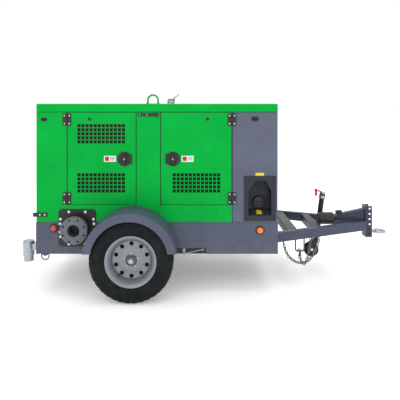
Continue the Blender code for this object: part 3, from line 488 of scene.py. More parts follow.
# hinge edge, free edge, way from one to the other, grille middle, latch, grille heights
DOORS = {"rear": (-0.766, -0.181, 1, -0.477, -0.277, ("low", "high")),
         "front": (0.638, 0.032, -1, 0.337, 0.136, ("low",))}
DOOR_LOW, DOOR_HIGH = 0.7225, 1.5115
EDGE = 0.003
HINGE_Z = {"low": 0.778, "high": 1.450}
LATCH_Z = 1.114


def hole_lines(middle, count):
    """Start and end of each hole along one direction."""
    first = middle - PITCH * (count - 1) / 2
    return [(first + PITCH * k - HOLE / 2, first + PITCH * k + HOLE / 2) for k in range(count)]


def door_skin(name, body, side, x_low, x_high, grille_x, heights):
    """Pressed door skin: punched square holes with real depth, and a folded, rounded rim."""
    y = SIDES[side]
    columns = hole_lines(grille_x, COLUMNS)
    rows = [pair for key in heights for pair in hole_lines(GRILLE_Z[key], ROWS)]
    xs = sorted([x_low + EDGE, x_high - EDGE] + [v for pair in columns for v in pair])
    zs = sorted([DOOR_LOW + EDGE, DOOR_HIGH - EDGE] + [v for pair in rows for v in pair])
    holes_x = {pair[0] for pair in columns}
    holes_z = {pair[0] for pair in rows}
    bm = bmesh.new()
    grid = [[bm.verts.new(at(x, y * FACE, z)) for z in zs] for x in xs]
    for i in range(len(xs) - 1):
        for j in range(len(zs) - 1):
            if xs[i] in holes_x and zs[j] in holes_z:
                continue
            bm.faces.new((grid[i][j], grid[i + 1][j], grid[i + 1][j + 1], grid[i][j + 1]))
    rim = [e for e in bm.edges if e.is_boundary]
    outer_x = (xs[0] + MID_X, xs[-1] + MID_X)
    outer_z = (zs[0] + LIFT, zs[-1] + LIFT)

    def outside(edge):
        a, b = (vert.co for vert in edge.verts)
        return any(abs(a[axis] - limit) < 1e-5 and abs(b[axis] - limit) < 1e-5
                   for axis, limits in ((0, outer_x), (2, outer_z)) for limit in limits)
    outer = [e for e in rim if outside(e)]
    inner = [e for e in rim if not outside(e)]

    def push(edges, moves):
        """Extrude a loop; moves gives how far out and how deep each step ends, from the face."""
        for out, deep in moves:
            made = bmesh.ops.extrude_edge_only(bm, edges=edges)["geom"]
            verts = [g for g in made if isinstance(g, bmesh.types.BMVert)]
            edges = [g for g in made if isinstance(g, bmesh.types.BMEdge)]
            for v in verts:
                v.co.y = y * (FACE - deep)
                if out is None:
                    continue
                for axis, limits in ((0, outer_x), (2, outer_z)):
                    for limit, sign in zip(limits, (-1, 1)):
                        if abs(v.co[axis] - limit) < EDGE * 1.01:
                            v.co[axis] = limit + sign * out
    push(outer, [(EDGE * 0.5, EDGE * 0.13), (EDGE * 0.87, EDGE * 0.5), (EDGE, EDGE), (EDGE, 0.0292)])
    push(inner, [(None, 0.0016)])
    skin = piece(name, bm, body, "green", angle=25)
    lining = block(at(x_low + 0.006, y * (FACE - 0.029), DOOR_LOW + 0.006),
                   at(x_high - 0.006, y * (FACE - 0.008), DOOR_HIGH - 0.006))
    piece(f"{name}_lining", lining, body, "foam")
    return skin


def hinge(name, body, side, pin_x, z, fold):
    """Black hinge: a leaf on the body, a leaf on the door, three knuckles and two screws in each leaf."""
    y = SIDES[side]
    pin_y = y * (FACE + 0.010)
    for owner, direction, label in (("root", -fold, "fixed"), (body, fold, "door")):
        near, far = 0.0012 * direction, 0.0365 * direction
        middle, width = pin_x + (near + far) / 2, abs(far - near)
        bm = side_plate(side, middle, z, width, 0.103, 0.006, 0.0035, 0.0068)
        spans = ((-0.046, -0.023), (0.023, 0.046)) if label == "fixed" else ((-0.0222, 0.0222),)
        for low, high in spans:
            rod(at(pin_x, pin_y, z + low), at(pin_x, pin_y, z + high), 0.0062, 16, bm, 0.001)
            block(at(pin_x, y * (FACE + 0.0045), z + low),
                  at(pin_x + 0.012 * direction, y * (FACE + 0.0105), z + high), bm)
        piece(f"{name}_{label}", bm, owner, "black", 0.0008, 1)
        spots = [at(pin_x + 0.021 * direction, y * (FACE + 0.0068), z + dz) for dz in (-0.034, 0.034)]
        fasteners(f"{name}_{label}_screws", owner, "zinc", screw, spots, (0, y, 0), 0.0068, 0.0035)


def latch(name, door_body, latch_body, side, x, fold):
    """Round latch: a dished seat and a strike on the door, and a bar handle on a hub that turns."""
    y = SIDES[side]
    z = LATCH_Z
    seat = turned(mm([(-2, 0), (-2, 62.5), (4, 62.5), (7.2, 59.5), (7.2, 52), (6.2, 50), (6.2, 0)]),
                  at(x, y * FACE, z), (0, y, 0), 64)
    piece(f"{name}_seat", seat, door_body, "black")
    flat = side_plate(side, x + fold * 0.052, z, 0.024, 0.088, 0.004, -0.001, 0.0065)
    piece(f"{name}_strike", flat, door_body, "black", 0.001, 2)
    base = FACE + 0.0066
    hub_profile = mm([(0, 0), (0, 28.5), (6, 28.5), (10, 24), (11, 0)])
    hub = turned(hub_profile, at(x, y * base, z), (0, y, 0), 40)
    piece(f"{name}_hub", hub, latch_body, "black")
    bar = side_plate(side, x, z, 0.018, 0.090, 0.008, 0.0146, 0.0321)
    handle = piece(f"{name}_handle", bar, latch_body, "black", 0.004, 3)
    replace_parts(handle, latch_body)
    key = rod(at(x, y * (base + 0.025), z), at(x, y * (base + 0.0262), z), 0.0055, 20)
    piece(f"{name}_lock", key, latch_body, "zinc")


def decal(name, body, side, x, z, width, height, finish, proud=0.0008):
    """A flat sticker without lettering."""
    plate = side_plate(side, x, z, width, height, min(width, height) * 0.08, -0.001, proud)
    return piece(name, plate, body, finish)


for side, y in SIDES.items():
    for which, (hinge_x, free_x, fold, grille_x, latch_x, heights) in DOORS.items():
        body = f"door_{which}_{side}"
        low, high = min(hinge_x, free_x), max(hinge_x, free_x)
        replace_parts(door_skin(f"{body}_skin", body, side, low, high, grille_x, heights), body)
        pin = hinge_x - fold * 0.004
        for place, z in HINGE_Z.items():
            hinge(f"hinge_{which}_{side}_{place}", body, side, pin, z, fold)
        latch(f"latch_{which}_{side}_set", body, f"latch_{which}_{side}", side, latch_x, fold)
        label_x = latch_x - fold * 0.1255
        decal(f"{body}_notice", body, side, label_x, 1.115, 0.103, 0.052, "white")
        decal(f"{body}_notice_mark", body, side, label_x - 0.025, 1.115, 0.034, 0.036, "red", 0.0012)
        decal(f"{body}_notice_bar", body, side, label_x + 0.022, 1.122, 0.040, 0.006, "black", 0.0012)
        decal(f"{body}_notice_line", body, side, label_x + 0.022, 1.106, 0.040, 0.004, "black", 0.0012)
        plug = turned(mm([(-1, 0), (-1, 15), (1.5, 15), (3, 11), (3, 0)]),
                      at(grille_x + (-0.100 if fold > 0 else 0.095), y * FACE, 1.455), (0, y, 0), 28)
        piece(f"{body}_plug", plug, body, "black")


# ---- enclosure fittings ----
def oval_grommet(name, side, x, z, width, height):
    rim = side_plate(side, x, z, width, height, height / 2.2, -0.001, 0.003, 8)
    piece(name, rim, "root", "black", 0.0012, 2)
    core = side_plate(side, x, z, width * 0.62, height * 0.55, height / 4.5, 0, 0.0045, 8)
    piece(f"{name}_core", core, "root", "foam", 0.001, 1)


for side, y in SIDES.items():
    oval_grommet(f"grommet_rear_{side}", side, -0.967, 1.451, 0.055, 0.032)
    oval_grommet(f"grommet_front_{side}", side, 0.838, 1.456, 0.065, 0.040)
    bar = side_plate(side, -0.075, 1.4925, 0.174, 0.026, 0.004, 0.002, 0.0135)
    block(at(-0.020, y * (FACE + 0.002), 1.4765), at(0.012, y * (FACE + 0.0165), 1.5085), bar)
    piece(f"rain_bar_{side}", bar, "root", "black", 0.0015, 2)
    rivets = [at(x, y * (FACE + 0.0135), 1.4925) for x in (-0.145, -0.085)]
    fasteners(f"rain_bar_rivets_{side}", "root", "zinc", screw, rivets, (0, y, 0), 0.0045, 0.002)
    seams = bmesh.new()
    for x in (-0.770, -0.177, 0.028):
        block(at(x - 0.0009, y * (FACE - 0.001), 0.5745), at(x + 0.0009, y * (FACE + 0.0002), 0.7200), seams)
    block(at(-1.030, y * (FACE - 0.001), 0.5722), at(1.030, y * (FACE + 0.0002), 0.5742), seams)
    block(at(0.6425, y * (FACE - 0.012), 0.5745), at(0.6448, y * (FACE + 0.0002), 1.5115), seams)
    for hinge_x, free_x, fold, *_ in DOORS.values():
        low, high = min(hinge_x, free_x) - 0.0035, max(hinge_x, free_x) + 0.0035
        for x in (low, high):
            block(at(x - 0.0026, y * (FACE - 0.004), 0.7185),
                  at(x + 0.0026, y * (FACE + 0.0004), 1.5128), seams)
        block(at(low, y * (FACE - 0.004), 0.7185), at(high, y * (FACE + 0.0004), 0.7225), seams)
        block(at(low, y * (FACE - 0.004), 1.5108), at(high, y * (FACE + 0.0004), 1.5138), seams)
    piece(f"panel_seams_{side}", seams, "root", "foam")
    # painted shadow: a thin black strip just under the roof edge stands in for the shade below the roof
    shadow = block(at(-1.031, y * (FACE - 0.004), 1.5118), at(1.031, y * (FACE - 0.0015), 1.5137))
    piece(f"roof_shadow_line_{side}", shadow, "root", "foam")
    corner = side_plate(side, -0.998, 0.638, 0.122, 0.036, 0.006, 0.0003, 0.008)
    piece(f"corner_catch_{side}", corner, "root", "black", 0.0015, 2)
    spots = [at(x, y * (FACE + 0.008), 0.638) for x in (-1.000, -0.958)]
    fasteners(f"corner_catch_screws_{side}", "root", "zinc", screw, spots, (0, y, 0), 0.0075, 0.0035)

lip = bmesh.new()
path = mm([(-1033.5, -608.5), (1033.5, -608.5), (1033.5, 608.5), (-1033.5, 608.5)])
bent_rod([at(x, y, 1.5165) for x, y in path], 0.0014, 8, closed=True, bm=lip)
piece("roof_hem", lip, "root", "green")
eye_bolts = [at(x, 0.0, 1.5925) for x in (-0.15, -0.028)]
fasteners("lifting_eye_bolts", "root", "zinc", hex_bolt, eye_bolts, UP, 0.012, 0.008)
welds = bmesh.new()
weld_profile = mm([(0, 0), (0, 13.5), (3, 12.5), (7, 9.8), (7, 0)])
for x in (-0.139, -0.039):
    turned(weld_profile, at(x, 0, 1.5922), UP, 24, welds)
piece("lifting_eye_welds", welds, "root", "green")

EXHAUST_X = 0.085
boot = turned(mm([(0, 27.5), (0, 48), (3, 47), (12, 33), (18, 29.5), (18, 27.5)]),
              at(EXHAUST_X, 0, 1.5862), UP, 40)
piece("exhaust_collar", boot, "root", "steel")
clamp_profile = mm([(0, 26.8), (0, 33.5), (16, 33.5), (16, 26.8)])
clamp = turned(clamp_profile, at(EXHAUST_X, 0, 1.604), UP, 36)
rod(at(0.055, -0.036, 1.612), at(0.055, 0.036, 1.612), 0.0035, 10, clamp)
piece("exhaust_clamp", clamp, "root", "zinc", 0.0008, 1)

# louvred outlet in the front panel pocket
SLAT_PITCH = 0.046
louvres = bmesh.new()
for k in range(13):
    spot = Matrix.Translation(at(1.0252, 0, 0.785 + k * SLAT_PITCH))
    tilt = Matrix.Rotation(math.radians(-23), 4, "Y")
    bmesh.ops.create_cube(louvres, size=1, matrix=spot @ tilt @ Matrix.Diagonal((0.0016, 0.71, 0.029, 1)))
piece("front_louvres", louvres, "root", "grey")
piece("front_screen", block(at(1.0181, -0.358, 0.762), at(1.0195, 0.358, 1.358)), "root", "foam")

handle = bmesh.new()
path = [(-1.060, -0.055, 0.745), (-1.073, -0.052, 0.745), (-1.078, -0.045, 0.745), (-1.078, 0.045, 0.745),
        (-1.073, 0.052, 0.745), (-1.060, 0.055, 0.745)]
bent_rod([at(*p) for p in path], 0.006, 12, bm=handle)
block(at(-1.0600, -0.068, 0.728), at(-1.0322, 0.068, 0.762), handle)
piece("rear_door_handle", handle, "rear_door", "black", 0.001, 1)
rear_seams = bmesh.new()
for y in (-0.5800, 0.5800):
    block(at(-1.0325, y - 0.0006, 0.5745), at(-1.012, y + 0.0006, 1.511), rear_seams)
piece("rear_door_seals", rear_seams, "root", "foam")


# ---- discharge port ----
PORT_FACE = 0.71                            # outer face of a port flange
FLANGE_R, BORE_R, BOLT_CIRCLE_R = 0.1143, 0.0515, 0.09525


def port_set(name, side, x, z, plate_x, plate_z, plate_w, plate_h, bolts, hide):
    """Bolted plate, stub pipe, two flanges with a gasket between them, and nuts behind."""
    y = SIDES[side]
    plate = side_plate(side, plate_x, plate_z, plate_w, plate_h, 0.03, 0.0003, 0.0083, 8)
    piece(f"{name}_plate", plate, "root", "black_steel", 0.0012, 2)
    rim = FLANGE_R - 0.0015
    depths = [(0.36, BORE_R), (0, BORE_R), (0, 0.078), (0.0016, 0.0785), (0.0016, rim), (0.003, FLANGE_R),
              (0.0225, FLANGE_R), (0.024, rim), (0.024, 0.072), (0.030, 0.068), (0.030, rim),
              (0.0315, FLANGE_R), (0.052, FLANGE_R), (0.0535, rim), (0.0535, 0.068), (0.066, 0.0572),
              (0.36, 0.0572)]
    profile = [(PORT_FACE - depth, radius) for depth, radius in depths]
    made = piece(f"{name}_flange", turned(profile, at(x, 0, z), (0, y, 0), 96), "root", "port", angle=30)
    drills = bmesh.new()
    for spot in ring_spots(at(x, y * (PORT_FACE - 0.027), z), BOLT_CIRCLE_R, 8):
        rod(spot, spot + Vector((0, y * 0.047, 0)), 0.0095, 20, drills)
    cut(made, drills)
    if hide:
        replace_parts(made, hide)
    nuts = ring_spots(at(x, y * (PORT_FACE - 0.0535), z), BOLT_CIRCLE_R, 8)
    fasteners(f"{name}_nuts", "root", "zinc", hex_bolt, nuts, (0, -y, 0), 0.022, 0.014)
    spots = [at(bx, y * (FACE + 0.0083), bz) for bx, bz in bolts]
    fasteners(f"{name}_plate_bolts", "root", "zinc", hex_bolt, spots, (0, y, 0), 0.014, 0.009)
    gasket = mm([(0, 50), (0, 77), (6, 77), (6, 50)])
    gasket_spot = at(x, y * (PORT_FACE - 0.030), z)
    piece(f"{name}_gasket", turned(gasket, gasket_spot, (0, y, 0), 48), "root", "rubber")
    # painted shade: a flat black disc deep in the bore stands in for the dark inside of the pipe
    dark = turned(mm([(0, 0), (0, 51.2), (3, 51.2), (3, 0)]), at(x, y * 0.40, z), (0, y, 0), 40)
    piece(f"{name}_depth", dark, "root", "foam")


PLATE_X, PLATE_Z = -0.681, 0.5265
plate_bolts = [(PLATE_X + sx * dx, PLATE_Z + sz * dz)
               for dx, dz in ((0.070, 0.137), (0.141, 0.075), (0.145, 0.036))
               for sx in (-1, 1) for sz in (-1, 1)]
port_set("discharge", "right", -0.69, 0.522, PLATE_X, PLATE_Z, 0.318, 0.318, plate_bolts, "discharge_port")
side_bolts = [(-0.90 + sx * 0.077, 0.72 + sz * 0.144) for sx in (-1, 1) for sz in (-1, 1)]
port_set("suction", "left", -0.90, 0.72, -0.90, 0.72, 0.18, 0.318, side_bolts, None)


# ---- wheels ----
AXLE_X, TYRE_Y, AXLE_Z = -0.19, 0.7875, 0.344     # AXLE_Z is above the ground
HAND_HOLE_CIRCLE_R, STUD_CIRCLE_R = 0.1315, 0.0572


def wheel(side):
    y = SIDES[side]
    body = f"wheel_{side}"
    centre = at(AXLE_X, y * TYRE_Y, AXLE_Z - LIFT)
    axis = (0, y, 0)
    grooves = mm([(-56, 340.8), (-53, 333.8), (-47, 333.8), (-44, 341.5)])
    tread = [(-0.078, 0.3345), (-0.070, 0.3392)]
    for offset in (0.0, 0.034, 0.066, 0.098):
        tread += [(a + offset, r) for a, r in grooves]
    tread += [(0.070, 0.3392), (0.078, 0.3345)]
    wall = mm([(87.5, 327), (93.5, 314), (97.5, 300), (101, 284), (102.2, 268), (101.2, 254), (101.6, 252),
               (101.2, 248), (98.5, 238), (97.5, 236.5), (95.5, 228), (92.5, 221), (93, 218.5), (90, 213),
               (85, 209.5), (78, 193.5)])
    profile = [(-a, r) for a, r in reversed(wall)] + tread + wall
    first, last = len(wall), len(wall) + len(tread) - 1

    def shift(k, i):
        """Notches in the shoulders, staggered between the two sides, and fine sipes across the ribs."""
        shoulder = i in (first - 1, first, first + 1, last - 1, last, last + 1)
        if shoulder and k % 4 == (0 if i < 24 else 2):
            return -0.0045
        rib = first + 2 <= i <= last - 2
        return -0.0016 if rib and k % 6 == 0 else 0
    carcass = turned(profile, centre, axis, 144, shift=shift)
    tyre = piece(f"tyre_carcass_{side}", carcass, body, "rubber", angle=40)
    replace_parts(tyre, f"tyre_{side}")
    ribs = bmesh.new()
    for r, a in ((0.2445, 0.0995), (0.2900, 0.0998)):
        ring = [(a + 0.0012 * math.cos(t), r + 0.0012 * math.sin(t))
                for t in (math.pi * k / 3 for k in range(6))]
        turned(ring, centre, axis, 96, ribs)
    piece(f"tyre_ribs_{side}", ribs, body, "rubber")
    barrel_inside = mm([(-78, 192.5), (-88, 208.5), (-95, 208.5), (-96, 206), (-90, 189), (-60, 181),
                        (10, 172), (20, 160)])
    disc = mm([(21, 120), (30, 92), (31, 60), (28, 40), (28, 30), (34, 30), (35.5, 40), (37.5, 58),
               (38.5, 78), (35, 92), (28.5, 106), (26, 120), (26.2, 145), (25, 153.5), (16, 162),
               (15, 165.5)])
    barrel_outside = mm([(23, 167.5), (50, 170), (70, 177), (86, 186), (92.5, 196.5), (96, 206),
                         (95.5, 208.2), (89, 208.5), (80, 194.5), (45, 188), (0, 179), (-45, 188)])
    rim_profile = barrel_inside + disc + barrel_outside
    rim = piece(f"wheel_disc_{side}", turned(rim_profile, centre, axis, 96), body, "silver", angle=38)
    drills = bmesh.new()
    for spot in ring_spots(centre, HAND_HOLE_CIRCLE_R, 10):
        rod(spot, spot + Vector((0, y * 0.06, 0)), 0.0172, 24, drills)
    cut(rim, drills)
    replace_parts(rim, f"rim_{side}")
    lips = bmesh.new()
    for spot in ring_spots(centre, HAND_HOLE_CIRCLE_R, 10, along=y * 0.0262):
        turned(mm([(-3, 17.2), (0.8, 17.6), (0.8, 18.6), (-1.2, 20), (-3, 20)]), spot, axis, 24, lips)
    piece(f"hand_hole_lips_{side}", lips, body, "silver")
    drum = turned(mm([(-55, 0), (-55, 160), (-4, 160), (4, 152), (4, 0)]), centre, axis, 48)
    piece(f"brake_drum_{side}", drum, body, "foam", 0.002, 2)
    bore = turned(mm([(20, 0), (20, 45.5), (38.5, 45.5), (38.5, 40.5), (34.5, 38.5), (34.5, 0)]),
                  centre, axis, 48)
    piece(f"hub_bore_{side}", bore, body, "black_steel")
    ring = turned(mm([(37.5, 46), (40.5, 46.5), (41.5, 50), (41.5, 60), (38.5, 66.5), (37, 66.5)]),
                  centre, axis, 64)
    piece(f"hub_ring_{side}", ring, body, "silver")
    hub = turned(mm([(-20, 0), (-20, 29.5), (46, 29.5), (52, 27), (54, 25.5), (76, 24), (81.5, 20),
                     (83.5, 12), (84, 0)]), centre, axis, 40)
    piece(f"hub_cap_{side}", hub, body, "galvanised")
    nuts, studs = bmesh.new(), bmesh.new()
    nut_profile = mm([(0, 0), (0, 12.5), (4, 12), (4, 10.8), (16, 10.5), (18, 8), (18, 0)])
    for spot in ring_spots(centre, STUD_CIRCLE_R, 5, 0.25, y * 0.0405):
        turned(nut_profile, spot, axis, 6, nuts)
        rod(spot + Vector((0, y * 0.017, 0)), spot + Vector((0, y * 0.026, 0)), 0.0058, 12, studs, 0.001)
    piece(f"wheel_nuts_{side}", nuts, body, "zinc")
    piece(f"wheel_studs_{side}", studs, body, "steel")
    turn = math.radians(232)
    foot = centre + Vector((0.158 * math.cos(turn), y * 0.024, 0.158 * math.sin(turn)))
    tip = centre + Vector((0.146 * math.cos(turn), y * 0.058, 0.146 * math.sin(turn)))
    valve = rod(foot, tip, 0.0042, 12, chamfer=0.001)
    rod(foot, foot + (tip - foot) * 0.45, 0.0065, 12, valve, 0.001)
    piece(f"tyre_valve_{side}", valve, body, "rubber")


def fender_trim(side):
    """Rolled edge along the skirt, and the fold between the skirt and the top."""
    y = SIDES[side]
    centre_x, centre_z = -0.2, 0.335
    edges = (("rolled_edge", 0.3155, 0.3975, 0.9062, 0.0034, 48),
             ("fold", 0.3742, 0.394452, 0.9064, 0.0035, 60))
    for name, radius, bottom, across, thickness, steps in edges:
        low = math.asin((bottom - centre_z) / radius)
        turns = [low + (math.pi - 2 * low) * k / steps for k in range(steps + 1)]
        path = [at(centre_x + radius * math.cos(t), y * across, centre_z + radius * math.sin(t))
                for t in turns]
        piece(f"fender_{name}_{side}", bent_rod(path, thickness, 10), "root", "frame")


for side in SIDES:
    wheel(side)
    fender_trim(side)


# ---- lamps, filler and small fittings ----
STABILIZER_X = -1.135


def lamp(name, x, z, outer, inner, finish, hide, side="right"):
    y = SIDES[side]
    grommet = turned([(0.0003, inner - 0.004), (0.0003, outer), (0.006, outer), (0.0105, outer - 0.004),
                      (0.0105, inner + 0.001), (0.006, inner - 0.004)], at(x, y * FACE, z), (0, y, 0), 56)
    piece(f"{name}_grommet", grommet, "root", "black")
    dome = turned([(0.001, 0), (0.001, inner), (0.012, inner), (0.0165, inner - 0.003), (0.019, inner * 0.72),
                   (0.0200, inner * 0.70), (0.0215, inner * 0.40), (0.0225, inner * 0.38), (0.0232, 0)],
                  at(x, y * FACE, z), (0, y, 0), 48)
    made = piece(f"{name}_lens", dome, "root", finish, angle=20)
    if hide:
        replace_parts(made, hide)


lamp("amber_marker", 0.881, 0.504, 0.037, 0.027, "amber", "marker_lamp_amber")
lamp("red_marker", -0.882, 0.523, 0.036, 0.026, "red_lens", "marker_lamp_red")
lamp("amber_marker_left", 0.881, 0.504, 0.037, 0.027, "amber", None, "left")

cap_profile = mm([(0, 0), (0, 50.5), (4, 54.5), (26, 54.5), (31, 51.5), (33, 47), (33, 0)])
cap = turned(cap_profile, at(0.885, -0.4905, 0.723), (0, -1, 0), 72,
             shift=lambda k, i: -0.0016 if i in (2, 3, 4) and k % 4 == 0 else 0)
cap_piece = piece("fuel_cap_body", cap, "fuel_cap", "black")
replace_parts(cap_piece, "fuel_cap")
grip = block(at(0.842, -0.5365, 0.7165), at(0.928, -0.523, 0.7295))
piece("fuel_cap_grip", grip, "fuel_cap", "black", 0.003, 3)
bezel_spots = [at(x, -0.617, z) for x in (0.760, 1.001) for z in (0.602, 0.776, 0.951)]
fasteners("filler_bezel_screws", "root", "black_steel", screw, bezel_spots, (0, -1, 0), 0.006, 0.003)
decal("filler_label_top", "root", "right", 0.879, 0.9825, 0.074, 0.024, "yellow")
slope = bmesh.new()
section = mm([(-491.5, 633), (-491.5, 664), (-600, 636), (-600, 633)])
ends = [[slope.verts.new(at(x, y, z)) for y, z in section] for x in (0.7825, 0.9755)]
for ring in ends:
    slope.faces.new(ring)
for k in range(4):
    slope.faces.new((ends[0][k], ends[0][k - 1], ends[1][k - 1], ends[1][k]))
piece("filler_tray_slope", slope, "root", "cross", 0.0008, 1)
tray_label = block((-0.023, -0.036, -0.0003), (0.023, 0.036, 0.0009))
tray_tilt = Matrix.Rotation(math.atan2(0.028, 0.1085), 4, "X")
tray_label.transform(Matrix.Translation(at(0.879, -0.556, 0.6477)) @ tray_tilt)
piece("filler_label_inside", tray_label, "root", "yellow")

for side, y in SIDES.items():
    top = turned(mm([(0, 0), (0, 47.5), (3, 47.5), (7, 43), (8, 0)]),
                 at(STABILIZER_X, y * 0.5, 0.3802), UP, 40)
    piece(f"stabilizer_cap_{side}", top, "root", "galvanised")
# the sleeves behind the rear plate are galvanised, the plate is painted
sleeves = nodes["base_rear"].data
sleeves.materials.append(M["galvanised"])
to_world = nodes["base_rear"].matrix_world
for polygon in sleeves.polygons:
    if (to_world @ polygon.center).x < MID_X - 1.0365:
        polygon.material_index = 1

# painted shade: a dark block behind the drain lever's notch stands in for the shade inside the base
bay = block(at(0.168, -0.6035, 0.3025), at(0.422, -0.598, 0.356))
piece("drain_bay_painted_shade", bay, "root", "dark")
lug = block(at(0.222, -0.6075, 0.310), at(0.240, -0.604, 0.352))
block(at(0.2285, -0.6095, 0.266), at(0.2335, -0.6065, 0.318), lug)
piece("drain_valve_lug", lug, "root", "steel", 0.0008, 1)
lever = rod(at(0.231, -0.6066, 0.338), at(0.231, -0.6175, 0.338), 0.0108, 24, chamfer=0.001)
block(at(0.2255, -0.6150, 0.303), at(0.2375, -0.6105, 0.336), lever)
lever_path = mm([(232, 306.5), (245, 307.5), (300, 320.5), (370, 336.5), (400.5, 341.5)])
bent_rod([at(x, -0.6128, z) for x, z in lever_path], 0.0040, 12, bm=lever)
turned(mm([(0, 0), (0, 6), (5, 8.8), (16, 8.8), (21, 6), (21, 0)]),
       at(0.3795, -0.6132, 0.3375), (1, 0, 0.18), 20, lever)
made = piece("drain_lever_bar", lever, "drain_lever", "steel", angle=40)
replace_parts(made, "drain_lever")

FLAP_HINGE = at(0.118, 0, 1.6438)
FLAP_TURN = math.radians(35)
reach = Vector((math.cos(FLAP_TURN), 0, math.sin(FLAP_TURN)))
lid_up = Vector((-math.sin(FLAP_TURN), 0, math.cos(FLAP_TURN)))
lid_profile = mm([(-1.5, 0), (-1.5, 30.5), (0.5, 31.2), (3, 30.5), (3.6, 24), (3.6, 0)])
lid = turned(lid_profile, FLAP_HINGE + reach * 0.034, lid_up, 40)
tab = block((-0.002, -0.007, -0.0035), (0.030, 0.007, 0.0035))
tab.transform(Matrix.Translation(FLAP_HINGE) @ Matrix.Rotation(-FLAP_TURN, 4, "Y"))
piece("rain_cap_tab", tab, "rain_flap", "soot", 0.001, 1)
lid_piece = piece("rain_cap_lid", lid, "rain_flap", "soot")
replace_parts(lid_piece, "rain_flap")
half_pin = Vector((0, 0.014, 0))
pin = rod(FLAP_HINGE - half_pin, FLAP_HINGE + half_pin, 0.0045, 14, chamfer=0.0008)
piece("rain_cap_pin", pin, "rain_flap", "soot")


# ---- tongue ----
KNEE, TIP = Vector((1.06, 0.49)), Vector((1.9867, 0.088))
TURN = math.atan2(KNEE.y - TIP.y, TIP.x - KNEE.x)


def beam_middle(x):
    return KNEE.y - (x - KNEE.x) * math.tan(TURN) - 0.025 / math.cos(TURN)


def smooth_route(route, steps=12):
    """Points of a smooth curve through the route's own points."""
    ends = [2 * route[0] - route[1]] + route + [2 * route[-1] - route[-2]]
    fine = []
    for i in range(1, len(ends) - 2):
        p0, p1, p2, p3 = ends[i - 1:i + 3]
        for k in range(steps):
            t = k / steps
            fine.append(0.5 * (2 * p1 + (p2 - p0) * t + (2 * p0 - 5 * p1 + 4 * p2 - p3) * t * t
                               + (3 * p1 - p0 - 3 * p2 + p3) * t ** 3))
    return fine + [route[-1]]


def spot_at(fine, lengths, distance):
    """Point and direction at a distance along the curve; lengths has each point's own distance."""
    i = next((i for i in range(len(lengths) - 1) if lengths[i + 1] >= distance), len(lengths) - 2)
    t = (distance - lengths[i]) / (lengths[i + 1] - lengths[i])
    return fine[i].lerp(fine[i + 1], t), (fine[i + 1] - fine[i]).normalized()


CHAIN_WIRE_R, LINK_PITCH, LINK_HALF_WIDTH = 0.0040, 0.0260, 0.0100


def chain(name, node, spots, shift):
    """Real links, alternately turned, along the route that the CAD tube takes."""
    fine = smooth_route([at(x, -beam_middle(x) - shift, z) for x, z in spots])
    lengths = [0.0]
    for a, b in zip(fine, fine[1:]):
        lengths.append(lengths[-1] + (b - a).length)
    count = max(3, round(lengths[-1] / LINK_PITCH) - 1)
    bend = LINK_HALF_WIDTH * 0.6
    straight = LINK_PITCH / 2 + CHAIN_WIRE_R * 0.9 - bend
    bm = bmesh.new()
    for k in range(count):
        middle, along = spot_at(fine, lengths, lengths[-1] * (k + 0.5) / count)
        across = along.cross(Vector((0, 1, 0))).normalized()
        facing = along.cross(across)
        wide = (across if k % 2 else facing) * math.cos(0.5) + (facing if k % 2 else -across) * math.sin(0.5)
        loop = []
        for t in (2 * math.pi * step / 16 for step in range(16)):
            run = math.copysign(straight, math.cos(t)) * min(1, abs(math.cos(t)) * 3)
            loop.append(middle + along * (run + bend * math.cos(t)) + wide * LINK_HALF_WIDTH * math.sin(t))
        bent_rod(loop, CHAIN_WIRE_R, 8, closed=True, bm=bm)
    made = piece(name, bm, "root", "chain", angle=60)
    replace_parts(made, node)


chain("chain_links_a", "safety_chain_a",
      mm([(1110, 360.5), (1125, 300), (1152, 240), (1194, 192), (1240, 162), (1290, 148), (1340, 152),
          (1390, 186), (1430, 240), (1458, 305), (1470, 360.5)]), 0.014)
chain("chain_links_b", "safety_chain_b",
      mm([(1274, 236), (1279, 195), (1290, 165), (1305, 136), (1320, 124), (1336, 135), (1356, 174),
          (1373, 235), (1385, 305), (1388, 360.5)]), -0.016)
hook = bmesh.new()
hook_y = -beam_middle(1.274)
hook_path = mm([(1259, 252), (1257, 263), (1264, 271), (1275, 270), (1283, 260), (1284, 246), (1279, 234),
                (1276, 226)])
bent_rod([at(x, hook_y, z) for x, z in hook_path], 0.0052, 10, bm=hook)
bent_rod([at(1.276 + 0.009 * math.cos(t), hook_y, 0.219 + 0.011 * math.sin(t))
          for t in (2 * math.pi * k / 16 for k in range(16))], 0.0042, 8, closed=True, bm=hook)
piece("chain_grab_hook", hook, "root", "black_steel", angle=60)

hitch_bolts = bmesh.new()
for y in (-1, 1):
    for z in (0.3145, 0.3648):
        hex_bolt(hitch_bolts, at(2.028, y * 0.050, z), (0, y, 0), 0.019, 0.010, washer=False)
piece("coupler_bolts", hitch_bolts, "root", "hitch")
weld = bmesh.new()
for y in (-1, 1):
    for k in range(14):
        spot = Matrix.Translation(at(1.9860, y * 0.054, 0.372 + k * 0.0058))
        bmesh.ops.create_uvsphere(weld, u_segments=8, v_segments=5, radius=0.0045, matrix=spot)
piece("hitch_weld_beads", weld, "root", "hitch", angle=60)
socket_profile = mm([(0, 0), (0, 17), (10, 19), (50, 19), (55, 15), (58, 15), (58, 0)])
socket = turned(socket_profile, at(1.705, -0.020, 0.5265), (1, 0, 0.10), 32)
piece("breakaway_switch", socket, "root", "black")
clip = block(at(1.722, -0.036, 0.505), at(1.740, -0.004, 0.512))
piece("breakaway_bracket", clip, "root", "black_steel", 0.001, 1)
connector = turned(mm([(0, 0), (0, 20), (6, 23.5), (36, 23.5), (40, 26), (48, 26), (50, 22), (58, 18),
                       (58, 0)]), at(1.652, -0.080, 0.4785), (1, 0, 0.12), 36)
piece("trailer_connector", connector, "root", "black_steel")

